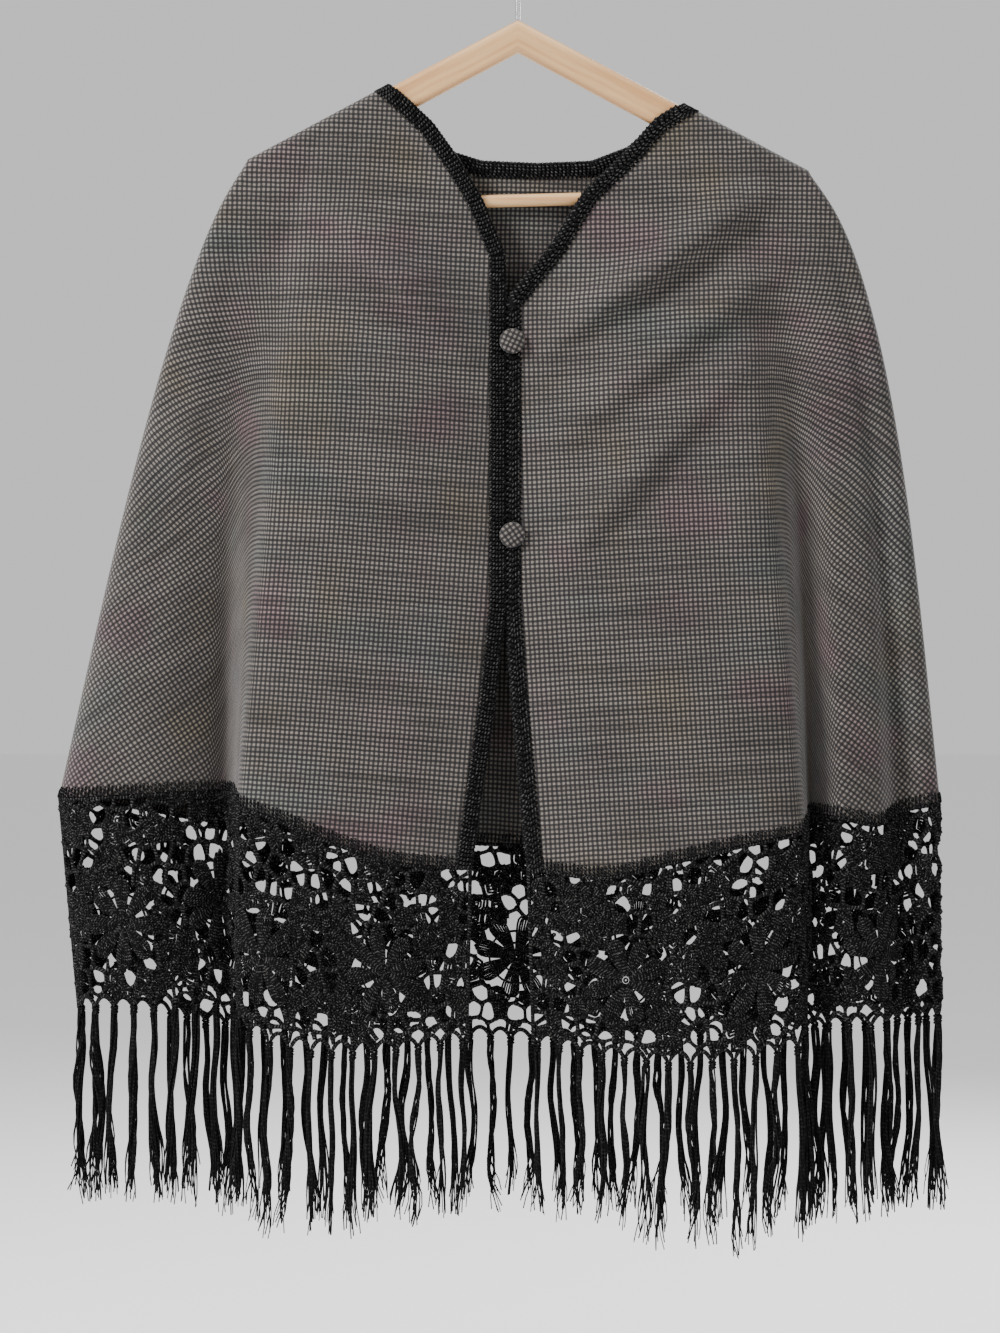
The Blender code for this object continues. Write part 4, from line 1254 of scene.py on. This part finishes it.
def whip_chains(panel):
    """The stitches that hold the net to the cloth: each goes over the hem."""
    chains = []
    count = int(panel.hem_lengths[-1] / WHIP_STEP)
    for number in range(count):
        along = (number + 0.5) * WHIP_STEP
        position = panel.hem_position(along)
        ahead = panel.hem_position(along + WHIP_LEAN)
        foot = panel.point(position, 1.0)
        rise = (panel.point(ahead, WHIP_TOP) - foot).normalized()
        out = panel.normal(position, 1.0)
        lean = 0.93 + 0.14 * (number % 3) / 2
        tip, middle, low = [foot + rise * height for height in (WHIP_HEIGHT * lean, WHIP_HEIGHT * 0.6, 0.5)]
        chains.append(even_chain([
            tip + out * 0.9, middle + out * 1.5, low + out * 1.6, foot - rise * 1.8,
            low - out * 1.6, middle - out * 1.5, tip - out * 0.9], WHIP_RADIUS))
    return chains


for lace in laces:
    chains = net_chains(lace) + border_chains(lace) + whip_chains(lace.panel)
    for number, flower in enumerate(lace.flowers):
        chains += flower_chains(lace, flower, number)
    node = lace.panel.name.replace("front", "lace").replace("back", "lace_back")
    stands_for(grow_yarn(node + "_net", chains, crochet_yarn, FINE_SIDES), node)

# %% [markdown]
# ## The fringe
# A tassel hangs from every knot of the foot. Its threads leave the knot as one thick bundle,
# lightly twisted, with a slow sway. Low down they part into three strands, and they fray and
# end at slightly different heights.

# %% Tassels
THREADS = 12
THREAD_POINTS = 15
THREAD_RADIUS = 0.8
KNOT_DROP = 5.0
STRANDS = 3
TIP_HEIGHTS = (-3, 12)
THREAD_ENDS = (-3, 18)
LEAN_ASIDE = 6
LEAN_AHEAD = 2.5
SWAY = (1.0, 3.2)
SWAYS = (0.7, 1.5)
BUNDLE = (1.8, 3.2)
PARTED = (0.6, 3.0)
TWISTS = 1.6
WIGGLE = (0.1, 0.8)
PARTING = 0.62
KNOT_TURNS = 3
KNOT_TOP = 1.2
KNOT_PITCH = 2.3
KNOT_RING = (2.3, 1.8)
KNOT_TILT = 0.9
KNOT_CORD = 1.1
KNOT_POINTS = 9
FRINGE_SEEDS = (11, 12, 13)


def knot_chains(root):
    chains = []
    for turn in range(KNOT_TURNS):
        level = root + Vector((0, 0, KNOT_TOP - KNOT_PITCH * turn))
        wide, deep = KNOT_RING
        ring = [level + Vector((math.cos(a) * wide, math.sin(a) * deep, math.sin(a + turn) * KNOT_TILT))
                for a in [2 * math.pi * i / KNOT_POINTS for i in range(KNOT_POINTS)]]
        chains.append(even_chain(ring, KNOT_CORD, True))
    return chains


def tassel_chains(lace, along, wave):
    """Threads in three strands, which part and fray towards their tips."""
    root = lace.panel.lace_point(along, 1.0)
    position = lace.panel.hem_position(max(along, 0.0))
    tip_z = lace.panel.fold(position).tip_z + wave.uniform(*TIP_HEIGHTS)
    drop = root.z - KNOT_DROP / 2 - tip_z
    lean = Vector((wave.uniform(-LEAN_ASIDE, LEAN_ASIDE), wave.uniform(-LEAN_AHEAD, LEAN_AHEAD), 0))
    sway, rate, phase = wave.uniform(*SWAY), wave.uniform(*SWAYS), wave.uniform(0, 2 * math.pi)
    body, split = wave.uniform(*BUNDLE), wave.uniform(*PARTED)
    twist = wave.uniform(-TWISTS, TWISTS)
    turn = wave.uniform(0, 2 * math.pi)
    chains = knot_chains(root)
    for thread in range(THREADS):
        strand = turn + 2 * math.pi * (thread % STRANDS) / STRANDS
        start = 2 * math.pi * wave.random()
        reach = math.sqrt(wave.uniform(0.15, 1.0))
        wiggle, own = wave.uniform(*WIGGLE), wave.uniform(0, 2 * math.pi)
        fall = drop - wave.uniform(*THREAD_ENDS)
        points, radii = [], []
        for i in range(THREAD_POINTS):
            share = i / (THREAD_POINTS - 1)
            loose = smooth((share - PARTING) / (1 - PARTING))
            bend = sway * math.sin(phase + 2 * math.pi * rate * share) * min(1.0, share * 3)
            angle = start + twist * 2 * math.pi * share
            spread = body * reach * (1 + 0.9 * loose)
            apart = split * loose
            points.append(root + lean * share + Vector((
                bend + math.cos(angle) * spread + math.cos(strand) * apart
                + wiggle * math.sin(own + 19 * share) * (0.3 + loose),
                bend * 0.4 + math.sin(angle) * spread * 0.8 + math.sin(strand) * apart * 0.6,
                -KNOT_DROP / 2 - fall * share)))
            radii.append(THREAD_RADIUS * (1.0 if share < 0.8 else 0.6))
        chains.append(Chain(points, radii, False))
    return chains


for lace, seed in zip(laces, FRINGE_SEEDS):
    wave = random.Random(seed)
    chains = [chain for along in lace.locks for chain in tassel_chains(lace, along, wave)]
    node = lace.panel.name.replace("front", "fringe").replace("back", "fringe_back")
    stands_for(grow_yarn(node + "_tassels", chains, fringe_yarn, FINE_SIDES), node)

# %% [markdown]
# ## Buttons
# Both buttons are domes covered in the cloth, set a little aslant to its grain. The cover is
# gathered under the rim in small pleats.

# %% Buttons
BUTTON_PROFILE = (
    (0.0, 0.0), (2.5, 0.0), (2.5, 1.6), (5.0, 1.6), (7.5, 1.8), (9.0, 2.2), (9.8, 2.7), (10.1, 3.3),
    (9.9, 3.9), (9.3, 4.5), (8.2, 5.15), (6.6, 5.8), (4.8, 6.25), (2.6, 6.55), (0.0, 6.65))
BUTTON_STEPS = 72
PLEATS = 18
PLEAT_DEPTH = 0.03
PLEATED_RINGS = range(4, 8)
RIM_RING = 7
COVER_TUCK = 4


def make_button(name, node, height, grain):
    panel = right_panel
    band_x = FRONT_EDGE_RIGHT[0].x - SEAM_GAP - BAND_WIDTH / 2
    down = (height - NECK_RIGHT[0].z) / (panel.folds[0].hem_z - NECK_RIGHT[0].z)
    base = Vector((band_x, panel.point(0.0, down).y - 1.6, height))
    points, faces = [], []
    for ring, (radius, rise) in enumerate(BUTTON_PROFILE):
        for i in range(BUTTON_STEPS):
            turn = 2 * math.pi * i / BUTTON_STEPS
            pleat = 1 - PLEAT_DEPTH * (math.cos(turn * PLEATS) + 1) * (ring in PLEATED_RINGS)
            reach = radius * pleat
            points.append(base + Vector((reach * math.cos(turn), -rise, reach * math.sin(turn))))
    for ring in range(len(BUTTON_PROFILE) - 1):
        for i in range(BUTTON_STEPS):
            j = (i + 1) % BUTTON_STEPS
            low, high = ring * BUTTON_STEPS, (ring + 1) * BUTTON_STEPS
            faces.append((low + i, low + j, high + j, high + i))
    mesh = plain_mesh(name, points, faces)
    layer = mesh.uv_layers.new(name="cloth")
    cosine, sine = math.cos(grain), math.sin(grain)
    for loop in mesh.loops:
        ring, i = divmod(loop.vertex_index, BUTTON_STEPS)
        reach = BUTTON_PROFILE[ring][0] + (COVER_TUCK if ring < RIM_RING else 0)
        turn = 2 * math.pi * i / BUTTON_STEPS
        x, z = reach * math.cos(turn), reach * math.sin(turn)
        layer.data[loop.index].uv = ((x * cosine - z * sine) * MM, (x * sine + z * cosine) * MM)
    button = show(name, mesh, wool)
    tidy = bmesh.new()
    tidy.from_mesh(mesh)
    bmesh.ops.remove_doubles(tidy, verts=tidy.verts, dist=1e-6)
    bmesh.ops.recalc_face_normals(tidy, faces=tidy.faces)
    tidy.to_mesh(mesh)
    tidy.free()
    stands_for(button, node)


make_button("upper_button", "button_upper", -327.6, math.radians(25))
make_button("lower_button", "button_lower", -479.7, math.radians(-35))

# %% [markdown]
# ## The hanger
# Both arms are one flat piece of beech with rounded edges and a leg at each end. A round bar
# joins the legs, and a bent steel wire is the hook.

# %% Hanger
ARM_HALF_SPAN = 206.0
ARM_HALF_WALL = 6.0
ARM_HEIGHT = 27.0
ARM_LEG_FOOT = -236.0
ARM_LEG_WIDTH = 24.0
ARM_EDGE = 4.8
BAR_RADIUS = 5.0
BAR_ENDS = ((-181.5, -221.0), (181.5, -211.0))
HOOK_RADIUS = 21.0
HOOK_WIRE = 2.0
HOOK_STEM = ((0, -62), (0.1, -58), (0.9, -53.5), (3.6, -49.5), (8, -46))
HOOK_TURN = (-50, 206, 6)


def plain_copy(holder):
    """The finished mesh of an object, with its modifiers or its curve applied."""
    bpy.context.view_layer.update()
    mesh = bpy.data.meshes.new_from_object(holder.evaluated_get(bpy.context.evaluated_depsgraph_get()))
    bpy.data.objects.remove(holder)
    return mesh


def make_arms():
    drop = RIDGE_ROUND - ARM_HALF_WALL
    outline = [(0, ridge_z(0) - drop - 1), (ARM_HALF_SPAN - 8, ridge_z(ARM_HALF_SPAN - 8) - drop),
               (ARM_HALF_SPAN, ridge_z(ARM_HALF_SPAN) - drop - 4), (ARM_HALF_SPAN, ARM_LEG_FOOT + 8),
               (ARM_HALF_SPAN - 8, ARM_LEG_FOOT),
               (ARM_HALF_SPAN - ARM_LEG_WIDTH, ARM_LEG_FOOT),
               (ARM_HALF_SPAN - ARM_LEG_WIDTH, ridge_z(ARM_HALF_SPAN - ARM_LEG_WIDTH) - ARM_HEIGHT - drop),
               (0, ridge_z(0) - ARM_HEIGHT - drop)]
    outline += [(-x, z) for x, z in reversed(outline[1:-1])]
    plate = bmesh.new()
    front = [plate.verts.new(Vector((x, -ARM_HALF_WALL, z)) * MM) for x, z in outline]
    rear = [plate.verts.new(Vector((x, ARM_HALF_WALL, z)) * MM) for x, z in outline]
    plate.faces.new(front)
    plate.faces.new(rear[::-1])
    for i in range(len(outline)):
        j = (i + 1) % len(outline)
        plate.faces.new((front[j], front[i], rear[i], rear[j]))
    bmesh.ops.recalc_face_normals(plate, faces=plate.faces)
    mesh = bpy.data.meshes.new("arms")
    plate.to_mesh(mesh)
    plate.free()
    holder = show("arms", mesh, arm_wood)
    edge = holder.modifiers.new("Edge", "BEVEL")
    edge.width = ARM_EDGE * MM
    edge.segments = 6
    edge.limit_method = "ANGLE"
    edge.angle_limit = math.radians(60)
    return show("beech_arms", plain_copy(holder), arm_wood)


def make_rod(name, path, radius, material, sides):
    curve = bpy.data.curves.new(name, "CURVE")
    curve.dimensions = "3D"
    curve.bevel_depth = radius * MM
    curve.bevel_resolution = sides
    curve.use_fill_caps = True
    spline = curve.splines.new("POLY")
    spline.points.add(len(path) - 1)
    for point, spot in zip(spline.points, path):
        point.co = (*(spot * MM), 1)
    holder = bpy.data.objects.new(name + "_line", curve)
    bpy.context.scene.collection.objects.link(holder)
    return show(name, plain_copy(holder), material)


def hook_path():
    middle = HOOK_RADIUS + HOOK_WIRE
    path = [Vector((x, 0, z)) for x, z in ((0, ridge_z(0) - 3),) + HOOK_STEM]
    for degrees in range(*HOOK_TURN):
        turn = math.radians(degrees)
        path.append(Vector((middle * math.cos(turn), 0, -HOOK_RADIUS + middle * math.sin(turn))))
    return path


stands_for(make_arms(), "hanger_arms")
bar_line = [Vector((BAR_ENDS[0][0], 0, BAR_ENDS[0][1])), Vector((BAR_ENDS[1][0], 0, BAR_ENDS[1][1]))]
stands_for(make_rod("beech_bar", bar_line, BAR_RADIUS, bar_wood, 10), "hanger_bar")
stands_for(make_rod("steel_hook", hook_path(), HOOK_WIRE, steel, 6), "hanger_hook")

# %% [markdown]
# ## The flat size of each panel
# Each panel's width, length and area before it was hung are read from its own map and printed.

# %% Flat sizes
def flat_size(cloth):
    """Width, length and area of a panel before it was hung, read from its own map."""
    mesh = cloth.data
    layer = mesh.uv_layers["cloth"].data
    spots = [layer[loop.index].uv for loop in mesh.loops]
    width = max(s.x for s in spots) - min(s.x for s in spots)
    length = max(s.y for s in spots) - min(s.y for s in spots)
    area = sum(polygon.area for polygon in mesh.polygons)
    return width, length, area


for panel in panels:
    width, length, area = flat_size(cloths[panel.name])
    print(panel.name, "flat:", round(width, 3), "by", round(length, 3), "m, area", round(area, 4))
